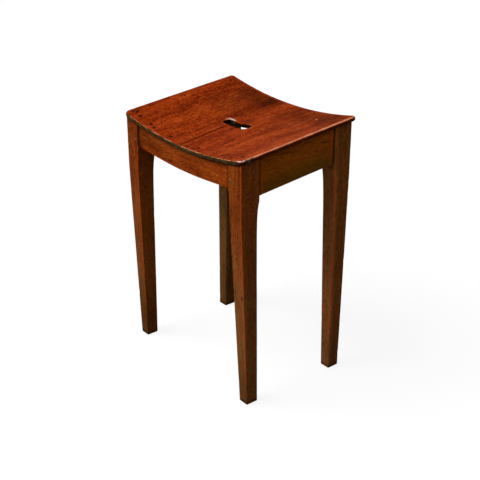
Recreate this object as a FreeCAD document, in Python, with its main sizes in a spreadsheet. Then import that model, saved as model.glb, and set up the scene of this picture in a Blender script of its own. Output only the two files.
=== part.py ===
"""Dished wooden shop stool: two seat boards on a frame of four tapered legs and four rails.

Millimetres. Z is up, the floor is Z = 0 and the middle of the stool is X = Y = 0.
The seat is dished across X, its grain runs along Y, and it slopes up towards +Y.
The -Y side is the low front, the +Y side is the high back.
"""
import FreeCAD
import Part
import math
import os
import Sketcher

SIZES = {
    # seat boards, measured on the top face and along the slope
    "seat_height": 520.0,
    "seat_width": 374.0,
    "seat_depth": 277.0,
    "seat_rise": 29.5,
    "seat_sag": 21.5,
    "seat_thickness": 9.5,
    "seat_corner_radius": 9.0,
    "seat_edge_radius": 3.0,
    # how far left of the middle the joint between the boards runs, at the front and at the back
    "joint_front_shift": 1.2,
    "joint_back_shift": 20.2,
    # hand slot through both boards
    "slot_length": 66.0,
    "slot_width": 22.0,
    "slot_corner_radius": 8.0,
    "slot_edge_radius": 2.0,
    "slot_shift_side": 1.7,
    "slot_shift_front": 3.3,
    # how far the seat stands out over the legs
    "side_overhang": 5.3,
    "front_overhang": 2.2,
    "back_overhang": 8.7,
    # legs; the block is square to below the side rail, and already narrower below the end rail
    "leg_block_width": 38.0,
    "leg_block_depth": 43.0,
    "leg_block_drop": 11.0,
    "leg_neck_width": 34.2,
    "leg_waist_width": 33.0,
    "leg_waist_depth": 37.2,
    "leg_foot_width": 22.7,
    "leg_foot_depth": 26.0,
    "leg_foot_splay": 1.7,
    "front_foot_inset": 14.0,
    "back_foot_inset": 10.0,
    "leg_cove_height": 27.0,
    "leg_foot_chamfer": 1.5,
    # rails, and the tenons at their ends
    "end_rail_depth": 40.0,
    "end_rail_arch": 9.0,
    "side_rail_depth": 81.3,
    "rail_thickness": 20.0,
    "rail_setback": 1.2,
    "tenon_thickness": 7.0,
    "tenon_length": 19.0,
    "tenon_end_gap": 0.8,
    "end_tenon_height": 32.0,
    "end_tenon_shoulder": 5.0,
    "side_tenon_height": 42.0,
    "side_tenon_shoulder": 7.0,
    # pegs through the end-rail tenons
    "peg_diameter": 6.5,
    "peg_length": 26.0,
    "peg_from_shoulder": 8.5,
    "peg_above_tenon": 7.5,
    "peg_stand_out": 0.3,
    # glued corner blocks
    "block_reach": 46.0,
    "block_height": 32.0,
    # nails through the seat, and the stopping over their heads
    "nail_diameter": 2.6,
    "nail_head_diameter": 5.0,
    "nail_head_thickness": 1.2,
    "nail_length": 38.0,
    "nail_sink": 2.2,
    "front_nail_inset": 15.0,
    "back_nail_inset": 20.0,
    "end_nail_near": 43.0,
    "end_nail_far": 113.0,
    "leg_nail_side_inset": 13.0,
    "leg_nail_front_inset": 20.0,
    # how far a cut runs past what it cuts
    "overrun": 12.0,
}

# how the stool is split across X and Y: the side's word and its sign
SIDES = {"left": -1, "right": 1}
ENDS = {"front": -1, "back": 1}

doc = FreeCAD.newDocument("dished_stool")
sheet = doc.addObject("Spreadsheet::Sheet", "Sizes")
for row, (alias, value) in enumerate(SIZES.items(), start=1):
    sheet.set(f"A{row}", alias)
    sheet.set(f"B{row}", str(value))
    sheet.setAlias(f"B{row}", alias)
doc.recompute()


def size(alias):
    """The expression that reads one size from the sheet."""
    return f"Sizes.{alias}"


def number(expression):
    """The present value of an expression, for the first drawing of a sketch."""
    return float(sheet.evalExpression(expression))


# the seat's own frame: tilted about X, with its middle at half the height of the dished boards
TILT = f"asin({size('seat_rise')} / {size('seat_depth')})"
SLOPE = f"tan({TILT})"
HALF_WIDTH = f"{size('seat_width')} / 2"
HALF_STACK = f"({size('seat_sag')} + {size('seat_thickness')}) / 2"
SEAT_MIDDLE = f"({size('seat_height')} - {HALF_STACK} / cos({TILT}))"
DISH_RADIUS = f"(({HALF_WIDTH})^2 + {size('seat_sag')}^2) / (2 * {size('seat_sag')})"
UNDER_RADIUS = f"({DISH_RADIUS} + {size('seat_thickness')})"
DISH_CENTRE = f"({HALF_STACK} - {size('seat_sag')} + {DISH_RADIUS})"
SEAT_TOP = f"({HALF_STACK} + {size('overrun')})"

# the frame under the seat, across
LEG_FACE_X = f"({HALF_WIDTH} - {size('side_overhang')})"
SHOULDER_X = f"({LEG_FACE_X} - {size('leg_block_width')})"
RAIL_FACE_X = f"({LEG_FACE_X} - {size('rail_setback')})"
RAIL_BACK_X = f"({RAIL_FACE_X} - {size('rail_thickness')})"
RAIL_MIDDLE_X = f"({RAIL_FACE_X} - {size('rail_thickness')} / 2)"

# the same along Y, by the sign of the end: the seat stands out further at the back
LEG_FACE_Y = {
    end: f"({size('seat_depth')} * cos({TILT}) / 2 - {size(f'{end_word}_overhang')})"
    for end_word, end in ENDS.items()}
SHOULDER_Y = {end: f"({face} - {size('leg_block_depth')})" for end, face in LEG_FACE_Y.items()}
RAIL_FACE_Y = {end: f"({face} - {size('rail_setback')})" for end, face in LEG_FACE_Y.items()}
RAIL_BACK_Y = {end: f"({face} - {size('rail_thickness')})" for end, face in RAIL_FACE_Y.items()}
RAIL_MIDDLE_Y = {end: f"({face} - {size('rail_thickness')} / 2)" for end, face in RAIL_FACE_Y.items()}


def dish_height(x, radius=DISH_RADIUS):
    """Height of a dished face over the seat's middle plane, at a distance x from the centre."""
    return f"({DISH_CENTRE} - sqrt(({radius})^2 - ({x})^2))"


def edge_height(y):
    """Height of the seat's top edge over the floor, at a distance y from the centre."""
    return f"({size('seat_height')} + ({y}) * {SLOPE})"


def board_joint(along):
    """Where the boards' joint runs across the seat, at a distance along it."""
    front, back = size("joint_front_shift"), size("joint_back_shift")
    return f"(({along}) * ({front} - {back}) / {size('seat_depth')} - ({front} + {back}) / 2)"


def origin_plane(body, role):
    """One of a body's own origin planes."""
    for feature in body.Origin.OriginFeatures:
        if feature.Role == role:
            return feature
    raise LookupError(role)


def new_sketch(body, name, role, offset="0", tilted=False):
    """A sketch on one of the body's planes, moved along the normal or laid in the seat's frame."""
    sketch = body.newObject("Sketcher::SketchObject", name)
    sketch.AttachmentSupport = [(origin_plane(body, role), "")]
    sketch.MapMode = "FlatFace"
    if tilted:
        lift = "y" if role == "XZ_Plane" else "z"
        sketch.AttachmentOffset = FreeCAD.Placement(
            FreeCAD.Vector(), FreeCAD.Rotation(FreeCAD.Vector(1, 0, 0), number(TILT)))
        sketch.setExpression("AttachmentOffset.Rotation.Angle", TILT)
        sketch.setExpression(f"AttachmentOffset.Base.{lift}", SEAT_MIDDLE)
    else:
        sketch.setExpression("AttachmentOffset.Base.z", offset)
    return sketch


def arc_between(start, end, radius, side):
    """The short arc from start to end; side is 1 when its centre lies to the left of the chord."""
    chord = end - start
    rise = math.sqrt(radius ** 2 - (chord.Length / 2) ** 2)
    left = FreeCAD.Vector(-chord.y, chord.x, 0).normalize()
    centre = (start + end) / 2 + left * (rise * side)
    first, last = (start, end) if side > 0 else (end, start)
    angles = [math.atan2(point.y - centre.y, point.x - centre.x) for point in (first, last)]
    circle = Part.Circle(centre, FreeCAD.Vector(0, 0, 1), radius)
    return Part.ArcOfCircle(circle, angles[0], angles[1])


def draw_outline(sketch, corners, arcs=None):
    """Draw a closed outline through corners given as expressions, and bind each one to the sheet.

    arcs maps an edge's number to (radius expression, side); all other edges are straight.
    """
    arcs = arcs or {}
    points = [FreeCAD.Vector(number(x), number(y), 0) for x, y in corners]
    ends = []
    for edge, start in enumerate(points):
        end = points[(edge + 1) % len(points)]
        if edge in arcs:
            radius, side = arcs[edge]
            index = sketch.addGeometry(arc_between(start, end, number(radius), side), False)
            sketch.addConstraint(Sketcher.Constraint("Radius", index, number(radius)))
            sketch.renameConstraint(sketch.ConstraintCount - 1, f"radius_{edge}")
            sketch.setExpression(f"Constraints.radius_{edge}", radius)
            ends.append((index, 1, 2) if side > 0 else (index, 2, 1))
        else:
            index = sketch.addGeometry(Part.LineSegment(start, end), False)
            ends.append((index, 1, 2))
    for edge, (index, first, _) in enumerate(ends):
        before, _, last = ends[edge - 1]
        sketch.addConstraint(Sketcher.Constraint("Coincident", before, last, index, first))
        for word, value, expression in zip(("DistanceX", "DistanceY"), points[edge], corners[edge]):
            sketch.addConstraint(Sketcher.Constraint(word, -1, 1, index, first, value))
            name = f"{word.lower()}_{edge}"
            sketch.renameConstraint(sketch.ConstraintCount - 1, name)
            sketch.setExpression(f"Constraints.{name}", expression)


def rectangle(x_first, x_last, y_first, y_last):
    """The four corners of a rectangle, as expressions."""
    return [(x_first, y_first), (x_last, y_first), (x_last, y_last), (x_first, y_last)]


def add_pad(body, sketch, length):
    """Pad a sketch to both sides of its plane."""
    pad = body.newObject("PartDesign::Pad", f"{sketch.Name}_pad")
    pad.Profile = sketch
    pad.SideType = "Symmetric"
    pad.setExpression("Length", length)
    return pad


def add_pocket(body, sketch, length):
    """Cut a sketch out of the body to both sides of its plane."""
    pocket = body.newObject("PartDesign::Pocket", f"{sketch.Name}_pocket")
    pocket.Profile = sketch
    pocket.SideType = "Symmetric"
    pocket.setExpression("Length", length)
    return pocket


def edges_where(feature, test):
    """Names of the feature's edges whose middle, in the seat's frame, passes the test."""
    to_seat = FreeCAD.Placement(
        FreeCAD.Vector(0, 0, number(SEAT_MIDDLE)),
        FreeCAD.Rotation(FreeCAD.Vector(1, 0, 0), number(TILT))).inverse()
    names = []
    for count, edge in enumerate(feature.Shape.Edges, start=1):
        middle = edge.valueAt((edge.FirstParameter + edge.LastParameter) / 2)
        along = edge.tangentAt(edge.FirstParameter)
        if test(to_seat.multVec(middle), to_seat.Rotation.multVec(along)):
            names.append(f"Edge{count}")
    return names


def add_dressing(body, kind, name, names, alias):
    """Fillet or chamfer the named edges of the body's tip."""
    base = body.Tip
    dressing = body.newObject(f"PartDesign::{kind}", name)
    dressing.Base = (base, names)
    dressing.setExpression("Radius" if kind == "Fillet" else "Size", size(alias))
    doc.recompute()
    return dressing


def draw_dish_slab(body, name, x_first, x_last):
    """Sketch the dished cross-section of the boards between two distances from the centre."""
    sketch = new_sketch(body, name, "XZ_Plane", tilted=True)
    corners = [
        (x_first, dish_height(x_first, UNDER_RADIUS)),
        (x_last, dish_height(x_last, UNDER_RADIUS)),
        (x_last, dish_height(x_last)),
        (x_first, dish_height(x_first)),
    ]
    draw_outline(sketch, corners, {0: (UNDER_RADIUS, 1), 2: (DISH_RADIUS, -1)})
    return sketch


def trim_under_seat(body, name):
    """Cut away all that reaches above the boards' lower face."""
    reach = f"({HALF_WIDTH} + {size('overrun')})"
    sketch = new_sketch(body, f"{name}_trim", "XZ_Plane", tilted=True)
    low = dish_height(reach, UNDER_RADIUS)
    corners = rectangle(f"-{reach}", reach, low, f"2 * {SEAT_TOP}")
    draw_outline(sketch, corners, {0: (UNDER_RADIUS, 1)})
    add_pocket(body, sketch, f"{size('seat_depth')} + 2 * {size('overrun')}")


def end_tenon(side, end, gap="0"):
    """X and Z ranges of the tenon that joins an end rail to one leg."""
    low = f"({rail_low(end)} + {size('end_rail_arch')} + {size('end_tenon_shoulder')})"
    inner = f"{side} * {SHOULDER_X}"
    outer = f"{side} * ({SHOULDER_X} + {size('tenon_length')} + {gap})"
    return rectangle(inner, outer, low, f"{low} + {size('end_tenon_height')}")


def side_tenon(end, gap="0"):
    """Y and Z ranges of the tenon that joins a side rail to one leg."""
    low = f"({side_rail_low(f'{end} * {SHOULDER_Y[end]}')} + {size('side_tenon_shoulder')})"
    inner = f"{end} * {SHOULDER_Y[end]}"
    outer = f"{end} * ({SHOULDER_Y[end]} + {size('tenon_length')} + {gap})"
    return rectangle(inner, outer, low, f"{low} + {size('side_tenon_height')}")


def rail_low(end):
    """Lowest height of an end rail's arched lower edge."""
    edge = edge_height(f"{end} * {LEG_FACE_Y[end]}")
    return f"({edge} - {size('seat_sag')} - {size('seat_thickness')} - {size('end_rail_depth')})"


def rail_plane(end):
    """Offset of the plane through the middle of an end rail's thickness."""
    return f"-{end} * {RAIL_MIDDLE_Y[end]}"


def side_rail_low(y):
    """Height of a side rail's lower edge at a distance y from the centre."""
    return f"({edge_height(y)} - {size('side_rail_depth')})"


def make_board(side_word, side):
    """One seat board: dished, rounded at its edges, with its half of the hand slot."""
    name = f"seat_board_{side_word}"
    body = doc.addObject("PartDesign::Body", f"{name}_blank")
    joint_range = f"({size('joint_front_shift')} + {size('joint_back_shift')} + {size('overrun')})"
    past_joint = f"-{side} * {joint_range}"
    outer = f"{side} * {HALF_WIDTH}"
    low, high = (outer, past_joint) if side < 0 else (past_joint, outer)
    add_pad(body, draw_dish_slab(body, f"{name}_section", low, high), size("seat_depth"))
    doc.recompute()

    far = number(HALF_WIDTH) - number(size("seat_edge_radius"))
    corners = edges_where(
        body.Tip, lambda at, along: side * at.x > far and abs(along.z) > abs(along.y))
    add_dressing(body, "Fillet", f"{name}_corners", corners, "seat_corner_radius")

    joint_cut = new_sketch(body, f"{name}_joint", "XY_Plane", tilted=True)
    reach = f"({size('seat_depth')} / 2 + {size('overrun')})"
    beyond = f"-{side} * ({joint_range} + {size('overrun')})"
    joint_line = [(board_joint(f"-{reach}"), f"-{reach}"), (board_joint(reach), reach)]
    draw_outline(joint_cut, joint_line + [(beyond, reach), (beyond, f"-{reach}")])
    add_pocket(body, joint_cut, f"4 * {SEAT_TOP}")

    sketch = new_sketch(body, f"{name}_slot", "XY_Plane", tilted=True)
    slot_end = f"({size('slot_shift_side')} + {side} * {size('slot_length')} / 2)"
    slot_front = f"(-{size('slot_shift_front')} - {size('slot_width')} / 2)"
    slot_back = f"({slot_front} + {size('slot_width')})"
    draw_outline(sketch, rectangle(past_joint, slot_end, slot_front, slot_back))
    add_pocket(body, sketch, f"4 * {SEAT_TOP}")
    doc.recompute()

    end_x = number(slot_end)
    tolerance = number(size("slot_edge_radius")) / 2
    inner = edges_where(
        body.Tip, lambda at, along: abs(at.x - end_x) < tolerance and abs(along.z) > abs(along.y))
    add_dressing(body, "Fillet", f"{name}_slot_corners", inner, "slot_corner_radius")

    lean = number(board_joint("1")) - number(board_joint("0"))
    middle = number(board_joint("0"))
    reach = number(size("slot_length"))

    def is_lying_edge(at, along):
        """Whether an edge lies along the board's faces and isn't one of the joint's own."""
        off_joint = abs(at.x - middle - at.y * lean) > tolerance
        return off_joint and abs(along.z) < math.hypot(along.x, along.y)

    rim = edges_where(
        body.Tip, lambda at, along: is_lying_edge(at, along) and math.hypot(at.x, at.y) < reach)
    add_dressing(body, "Fillet", f"{name}_slot_rim", rim, "slot_edge_radius")
    edge = edges_where(
        body.Tip, lambda at, along: is_lying_edge(at, along) and math.hypot(at.x, at.y) > reach)
    add_dressing(body, "Fillet", f"{name}_edge", edge, "seat_edge_radius")
    return body


def make_leg(side_word, side, end_word, end):
    """One leg: a block at the rails, a cove under each, a long taper and mortises for two rails."""
    name = f"leg_{end_word}_{side_word}"
    body = doc.addObject("PartDesign::Body", f"{name}_blank")
    block_low = f"({side_rail_low(f'{end} * {SHOULDER_Y[end]}')} - {size('leg_block_drop')})"
    neck = f"({rail_low(end)} + {size('end_rail_arch')})"
    waist = f"({block_low} - {size('leg_cove_height')})"
    top = edge_height(f"{end} * {LEG_FACE_Y[end]}")
    chamfer, splay = size("leg_foot_chamfer"), size("leg_foot_splay")
    foot_width, foot_depth = size("leg_foot_width"), size("leg_foot_depth")
    inset = size(f"{end_word}_foot_inset")
    block_width, block_depth = size("leg_block_width"), size("leg_block_depth")
    # each level: its height, the leg's width and depth there, and how far its outer faces lie in
    levels = [
        ("toe", "0", f"({foot_width} - 2 * {chamfer})", f"({foot_depth} - 2 * {chamfer})",
         f"({chamfer} - {splay})", f"({inset} + {chamfer})"),
        ("foot", chamfer, foot_width, foot_depth, f"(0 - {splay})", inset),
        ("waist", waist, size("leg_waist_width"), size("leg_waist_depth"), "0", "0"),
        ("block", block_low, size("leg_neck_width"), block_depth, "0", "0"),
        ("neck", neck, block_width, block_depth, "0", "0"),
        ("top", top, block_width, block_depth, "0", "0"),
    ]
    sections = []
    for word, height, width, depth, inset_x, inset_y in levels:
        sketch = new_sketch(body, f"{name}_{word}", "XY_Plane", offset=height)
        outer_x = f"{side} * ({LEG_FACE_X} - {inset_x})"
        outer_y = f"{end} * ({LEG_FACE_Y[end]} - {inset_y})"
        inner_x = f"{side} * ({LEG_FACE_X} - {inset_x} - {width})"
        inner_y = f"{end} * ({LEG_FACE_Y[end]} - {inset_y} - {depth})"
        draw_outline(sketch, rectangle(inner_x, outer_x, inner_y, outer_y))
        sections.append(sketch)
    loft = body.newObject("PartDesign::AdditiveLoft", f"{name}_taper")
    loft.Profile = sections[0]
    loft.Sections = sections[1:]
    loft.Ruled = True

    trim_under_seat(body, name)
    gap = size("tenon_end_gap")
    end_mortise = new_sketch(body, f"{name}_end_mortise", "XZ_Plane", offset=rail_plane(end))
    draw_outline(end_mortise, end_tenon(side, end, gap))
    add_pocket(body, end_mortise, size("tenon_thickness"))
    side_mortise = new_sketch(body, f"{name}_side_mortise", "YZ_Plane", offset=f"{side} * {RAIL_MIDDLE_X}")
    draw_outline(side_mortise, side_tenon(end, gap))
    add_pocket(body, side_mortise, size("tenon_thickness"))
    return body


def make_end_rail(end_word, end):
    """The front or back rail: arched below, dished above, with a tenon at each end."""
    name = f"rail_{end_word}"
    body = doc.addObject("PartDesign::Body", f"{name}_blank")
    low = f"({rail_low(end)} + {size('end_rail_arch')})"
    high = edge_height(f"{end} * {LEG_FACE_Y[end]}")
    arch = f"(({SHOULDER_X})^2 + {size('end_rail_arch')}^2) / (2 * {size('end_rail_arch')})"
    face = new_sketch(body, f"{name}_face", "XZ_Plane", offset=rail_plane(end))
    draw_outline(face, rectangle(f"-{SHOULDER_X}", SHOULDER_X, low, high), {0: (arch, 1)})
    add_pad(body, face, size("rail_thickness"))
    for side_word, side in SIDES.items():
        tenon = new_sketch(body, f"{name}_tenon_{side_word}", "XZ_Plane", offset=rail_plane(end))
        draw_outline(tenon, end_tenon(side, end))
        add_pad(body, tenon, size("tenon_thickness"))
    trim_under_seat(body, name)
    return body


def make_side_rail(side_word, side):
    """The left or right rail: straight, sloping with the seat, with a tenon at each end."""
    name = f"rail_{side_word}"
    body = doc.addObject("PartDesign::Body", f"{name}_blank")
    front, back = f"-{SHOULDER_Y[-1]}", SHOULDER_Y[1]
    face = new_sketch(body, f"{name}_face", "YZ_Plane", offset=f"{side} * {RAIL_MIDDLE_X}")
    corners = [
        (front, side_rail_low(front)), (back, side_rail_low(back)),
        (back, edge_height(back)), (front, edge_height(front))]
    draw_outline(face, corners)
    add_pad(body, face, size("rail_thickness"))
    for end_word, end in ENDS.items():
        tenon = new_sketch(
            body, f"{name}_tenon_{end_word}", "YZ_Plane", offset=f"{side} * {RAIL_MIDDLE_X}")
        draw_outline(tenon, side_tenon(end))
        add_pad(body, tenon, size("tenon_thickness"))
    trim_under_seat(body, name)
    return body


def make_corner_block(side_word, side, end_word, end):
    """A glue block in one corner of the frame, notched round the leg."""
    name = f"corner_block_{end_word}_{side_word}"
    body = doc.addObject("PartDesign::Body", f"{name}_blank")
    low = f"({rail_low(end)} + {size('end_rail_arch')})"
    middle = f"({low} + {size('block_height')} / 2 + {size('end_tenon_shoulder')})"
    plan = new_sketch(body, f"{name}_plan", "XY_Plane", offset=middle)
    reach = size("block_reach")
    corners = [
        (f"{side} * {RAIL_BACK_X}", f"{end} * ({RAIL_BACK_Y[end]} - {reach})"),
        (f"{side} * {RAIL_BACK_X}", f"{end} * {SHOULDER_Y[end]}"),
        (f"{side} * {SHOULDER_X}", f"{end} * {SHOULDER_Y[end]}"),
        (f"{side} * {SHOULDER_X}", f"{end} * {RAIL_BACK_Y[end]}"),
        (f"{side} * ({RAIL_BACK_X} - {reach})", f"{end} * {RAIL_BACK_Y[end]}"),
    ]
    draw_outline(plan, corners)
    add_pad(body, plan, size("block_height"))
    trim_under_seat(body, name)
    return body


def round_bar(name, diameter, length, x, y, z, axis, angle):
    """A round bar whose base circle stands at a place, turned by an angle about an axis."""
    bar = doc.addObject("Part::Cylinder", name)
    bar.setExpression("Radius", f"{diameter} / 2")
    bar.setExpression("Height", length)
    bar.Placement = FreeCAD.Placement(FreeCAD.Vector(), FreeCAD.Rotation(axis, number(angle)))
    bar.setExpression("Placement.Base.x", x)
    bar.setExpression("Placement.Base.y", y)
    bar.setExpression("Placement.Base.z", z)
    bar.setExpression("Placement.Rotation.Angle", angle)
    return bar


def seat_bar(name, diameter, length, x, along, height):
    """A round bar square to the sloping seat, at a place given in the seat's frame."""
    y = f"({along}) * cos({TILT}) - ({height}) * sin({TILT})"
    z = f"{SEAT_MIDDLE} + ({along}) * sin({TILT}) + ({height}) * cos({TILT})"
    return round_bar(name, diameter, length, x, y, z, FreeCAD.Vector(1, 0, 0), TILT)


def make_peg(side_word, side, end_word, end):
    """The wooden peg through one end-rail tenon, driven from the leg's outer face."""
    low = f"({rail_low(end)} + {size('end_rail_arch')} + {size('end_tenon_shoulder')})"
    # the bar is drawn along +Z and laid over, so that it points into the leg
    return round_bar(
        f"peg_{end_word}_{side_word}", size("peg_diameter"), size("peg_length"),
        f"{side} * ({SHOULDER_X} + {size('peg_from_shoulder')})",
        f"{end} * ({LEG_FACE_Y[end]} + {size('peg_stand_out')})",
        f"{low} + {size('peg_above_tenon')}", FreeCAD.Vector(1, 0, 0), f"{end} * 90")


def nail_places(group):
    """Where one group's nails stand: pairs of X and distance along the seat, as expressions."""
    leg_x = f"({LEG_FACE_X} - {size('leg_nail_side_inset')})"
    leg_row = f"({size('seat_depth')} / 2 - {size('leg_nail_front_inset')})"
    if group == "legs":
        corners = [(side, end) for side in SIDES.values() for end in ENDS.values()]
        return [(f"{side} * {leg_x}", f"{end} * {leg_row}") for side, end in corners]
    if group == "sides":
        return [(f"{side} * {RAIL_MIDDLE_X}", "0") for side in SIDES.values()]
    row = f"{ENDS[group]} * ({size('seat_depth')} / 2 - {size(f'{group}_nail_inset')})"
    spots = (size("end_nail_near"), size("end_nail_far"))
    return [(f"{side} * {spot}", row) for side in SIDES.values() for spot in spots]


def make_nails(group):
    """One group of nails, and the stopping that fills the holes over their heads."""
    nails, plugs = [], []
    for count, (x, along) in enumerate(nail_places(group), start=1):
        head_top = f"({dish_height(x)} - {size('nail_sink')})"
        head_low = f"({head_top} - {size('nail_head_thickness')})"
        tip = f"({head_top} - {size('nail_length')})"
        label = f"nail_{group}_{count}"
        shank = seat_bar(
            f"{label}_shank", size("nail_diameter"),
            f"{size('nail_length')} - {size('nail_head_thickness')}", x, along, tip)
        head = seat_bar(
            f"{label}_head", size("nail_head_diameter"), size("nail_head_thickness"), x, along, head_low)
        nails += [shank, head]
        plugs.append(seat_bar(
            f"{label}_plug", size("nail_head_diameter"),
            f"{size('nail_sink')} + {size('overrun')}", x, along, head_top))
    nail_group = doc.addObject("Part::MultiFuse", f"nails_{group}")
    nail_group.Shapes = nails
    plug_stack = doc.addObject("Part::Compound", f"stopping_{group}_bars")
    plug_stack.Links = plugs
    plug_group = doc.addObject("Part::Common", f"stopping_{group}")
    plug_group.Base = plug_stack
    plug_group.Tool = seat_slab
    return nail_group, plug_group


def cut_holes(body, name, fillers):
    """The finished piece: its body without the room that pegs, nails and stopping take."""
    tool = doc.addObject("Part::Compound", f"{name}_holes")
    tool.Links = fillers
    piece = doc.addObject("Part::Cut", name)
    piece.Base = body
    piece.Tool = tool
    return piece


seat_slab = doc.addObject("PartDesign::Body", "seat_slab")
slab_section = draw_dish_slab(seat_slab, "seat_slab_section", f"-{HALF_WIDTH}", HALF_WIDTH)
add_pad(seat_slab, slab_section, size("seat_depth"))

nails = {}
stopping = {}
for group in ("front", "back", "sides", "legs"):
    nails[group], stopping[group] = make_nails(group)
seat_fillers = list(nails.values()) + list(stopping.values())

pieces = seat_fillers.copy()
for side_word, side in SIDES.items():
    board = make_board(side_word, side)
    pieces.append(cut_holes(board, f"seat_board_{side_word}", seat_fillers))
    rail = make_side_rail(side_word, side)
    pieces.append(cut_holes(rail, f"rail_{side_word}", [nails["sides"]]))

for end_word, end in ENDS.items():
    pegs = [make_peg(side_word, side, end_word, end) for side_word, side in SIDES.items()]
    pieces += pegs
    rail = make_end_rail(end_word, end)
    pieces.append(cut_holes(rail, f"rail_{end_word}", pegs + [nails[end_word]]))
    for (side_word, side), peg in zip(SIDES.items(), pegs):
        leg = make_leg(side_word, side, end_word, end)
        pieces.append(cut_holes(leg, f"leg_{end_word}_{side_word}", [peg, nails["legs"]]))
        block = make_corner_block(side_word, side, end_word, end)
        block.Label = f"corner_block_{end_word}_{side_word}"
        pieces.append(block)

doc.recompute()
for item in doc.Objects:
    if "Invalid" in item.State or "Error" in item.State:
        raise RuntimeError(f"{item.Name} did not build: {item.State}")

os.makedirs("parts", exist_ok=True)
for piece in pieces:
    if piece.Shape.isNull() or not piece.Shape.isValid():
        raise RuntimeError(f"{piece.Label} has no valid shape")
    piece.Shape.exportStep(os.path.join("parts", f"{piece.Label}.step"))
    print(f"{piece.Label}: {len(piece.Shape.Solids)} solids, {piece.Shape.Volume / 1000:.2f} cm3")
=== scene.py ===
"""Dished wooden shop stool: its detailed pieces, finishes and studio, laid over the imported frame.

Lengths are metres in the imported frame. Z is up, the floor is Z = 0, X runs across the seat's
dish and Y along its grain. The seat slopes up from the front (-Y) to the back (+Y).
"""

import logging
import math
from dataclasses import dataclass, field, replace
from enum import Enum
from typing import Callable, Iterable, NamedTuple, Sequence

import bmesh
import bpy
import numpy as np
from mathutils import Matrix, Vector, noise
from mathutils.geometry import delaunay_2d_cdt


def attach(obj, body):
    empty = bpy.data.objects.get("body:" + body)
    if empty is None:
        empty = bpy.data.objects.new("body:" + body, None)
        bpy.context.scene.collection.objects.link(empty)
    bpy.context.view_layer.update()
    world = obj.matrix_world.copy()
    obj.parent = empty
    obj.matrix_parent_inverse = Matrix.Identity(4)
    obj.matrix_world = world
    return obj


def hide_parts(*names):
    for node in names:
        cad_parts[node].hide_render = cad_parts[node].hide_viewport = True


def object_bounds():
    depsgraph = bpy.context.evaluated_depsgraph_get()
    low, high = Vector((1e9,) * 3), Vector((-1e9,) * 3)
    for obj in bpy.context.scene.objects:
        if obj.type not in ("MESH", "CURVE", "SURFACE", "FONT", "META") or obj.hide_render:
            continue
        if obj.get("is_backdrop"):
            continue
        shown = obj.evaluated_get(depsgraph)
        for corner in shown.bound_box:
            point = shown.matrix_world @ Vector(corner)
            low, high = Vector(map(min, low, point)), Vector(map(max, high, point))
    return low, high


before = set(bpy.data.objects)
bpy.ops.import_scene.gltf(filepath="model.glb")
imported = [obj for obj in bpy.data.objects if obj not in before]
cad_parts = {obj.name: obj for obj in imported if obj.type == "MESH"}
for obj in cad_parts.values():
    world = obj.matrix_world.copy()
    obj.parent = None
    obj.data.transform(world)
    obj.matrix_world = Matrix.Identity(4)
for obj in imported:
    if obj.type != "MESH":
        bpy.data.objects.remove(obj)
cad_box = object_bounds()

LOG = logging.getLogger("stool")
# a millimetre, and the gap that is left between pieces glued face to face
MM = 0.001
TIGHT = 0.04 * MM
# how far a seed of 1 moves the place at which a surface's noise or a finish's pattern is read
NOISE_SEED_STEPS = (7.1, 3.7, 5.3)
PATTERN_SEED_STEPS = (211.0, 97.0, 613.0)
# the surface masks that the finishes read; the wear mask also carries painted highlights, the grime mask
# painted shade, and the faded mask a painted tint of light and shade
MASKS = ("wear", "grime", "end_grain", "raw", "faded")

Colour = tuple[float, float, float]
Triple = tuple[float, float, float]
Pair = tuple[float, float]
Socket = bpy.types.NodeSocket


class Half(Enum):
    """One of two opposite halves of the stool, with the sign of its axis there."""

    @property
    def word(self) -> str:
        """The half's name in a piece's name."""
        return self.name.lower()


class Side(Half):
    """The stool's left or right, with the sign of X there."""

    LEFT = -1
    RIGHT = 1


class End(Half):
    """The stool's front or back, with the sign of Y there."""

    FRONT = -1
    BACK = 1


class Edge(Enum):
    """What a stretch of a seat board's outline is."""

    FRONT = "front"
    SIDE = "side"
    BACK = "back"
    JOINT = "joint"
    SLOT = "slot"


class NailGroup(Enum):
    """The groups of nails through the seat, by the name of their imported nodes."""

    FRONT = "front"
    BACK = "back"
    SIDES = "sides"
    LEGS = "legs"


class Grain(Enum):
    """The axis that a piece's grain runs along, as the order of axes that puts it last."""

    ACROSS = ("Y", "Z", "X")
    DEEP = ("X", "Z", "Y")
    UPRIGHT = ("X", "Y", "Z")


class Slot(Enum):
    """The record's material slots."""

    SEAT = "seat_wood"
    LEG = "leg_wood"
    RAIL = "rail_wood"
    BLOCK = "block_wood"
    PEG = "peg_wood"
    STOPPING = "stopping"


def srgb(red: float, green: float, blue: float) -> Colour:
    """Turn a screen's colour, in shares from 0 to 255, into the linear one that a shader wants."""
    shares = [share / 255 for share in (red, green, blue)]
    return tuple(s / 12.92 if s <= 0.04045 else ((s + 0.055) / 1.055) ** 2.4 for s in shares)


def smooth(value: float, low: float = 0.0, high: float = 1.0) -> float:
    """Rise smoothly from 0 at low to 1 at high."""
    share = min(max((value - low) / (high - low), 0.0), 1.0)
    return share * share * (3 - 2 * share)


def fade(value: float, low: float, high: float) -> float:
    """Fall smoothly from 1 at low to 0 at high."""
    return 1 - smooth(value, low, high)


def circle(count: int, shift: float = 0.0) -> list[Pair]:
    """List the directions of the points of a circle, turned by a share of one step."""
    turns = [math.tau * (k + shift) / count for k in range(count)]
    return [(math.cos(turn), math.sin(turn)) for turn in turns]


def unevenness(point: Sequence[float], size: float, seed: float) -> float:
    """Wander smoothly from about -1 to 1 over a size in metres, in a way that the seed picks."""
    return noise.noise(Vector(point) / size + Vector([seed * step for step in NOISE_SEED_STEPS]))


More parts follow.
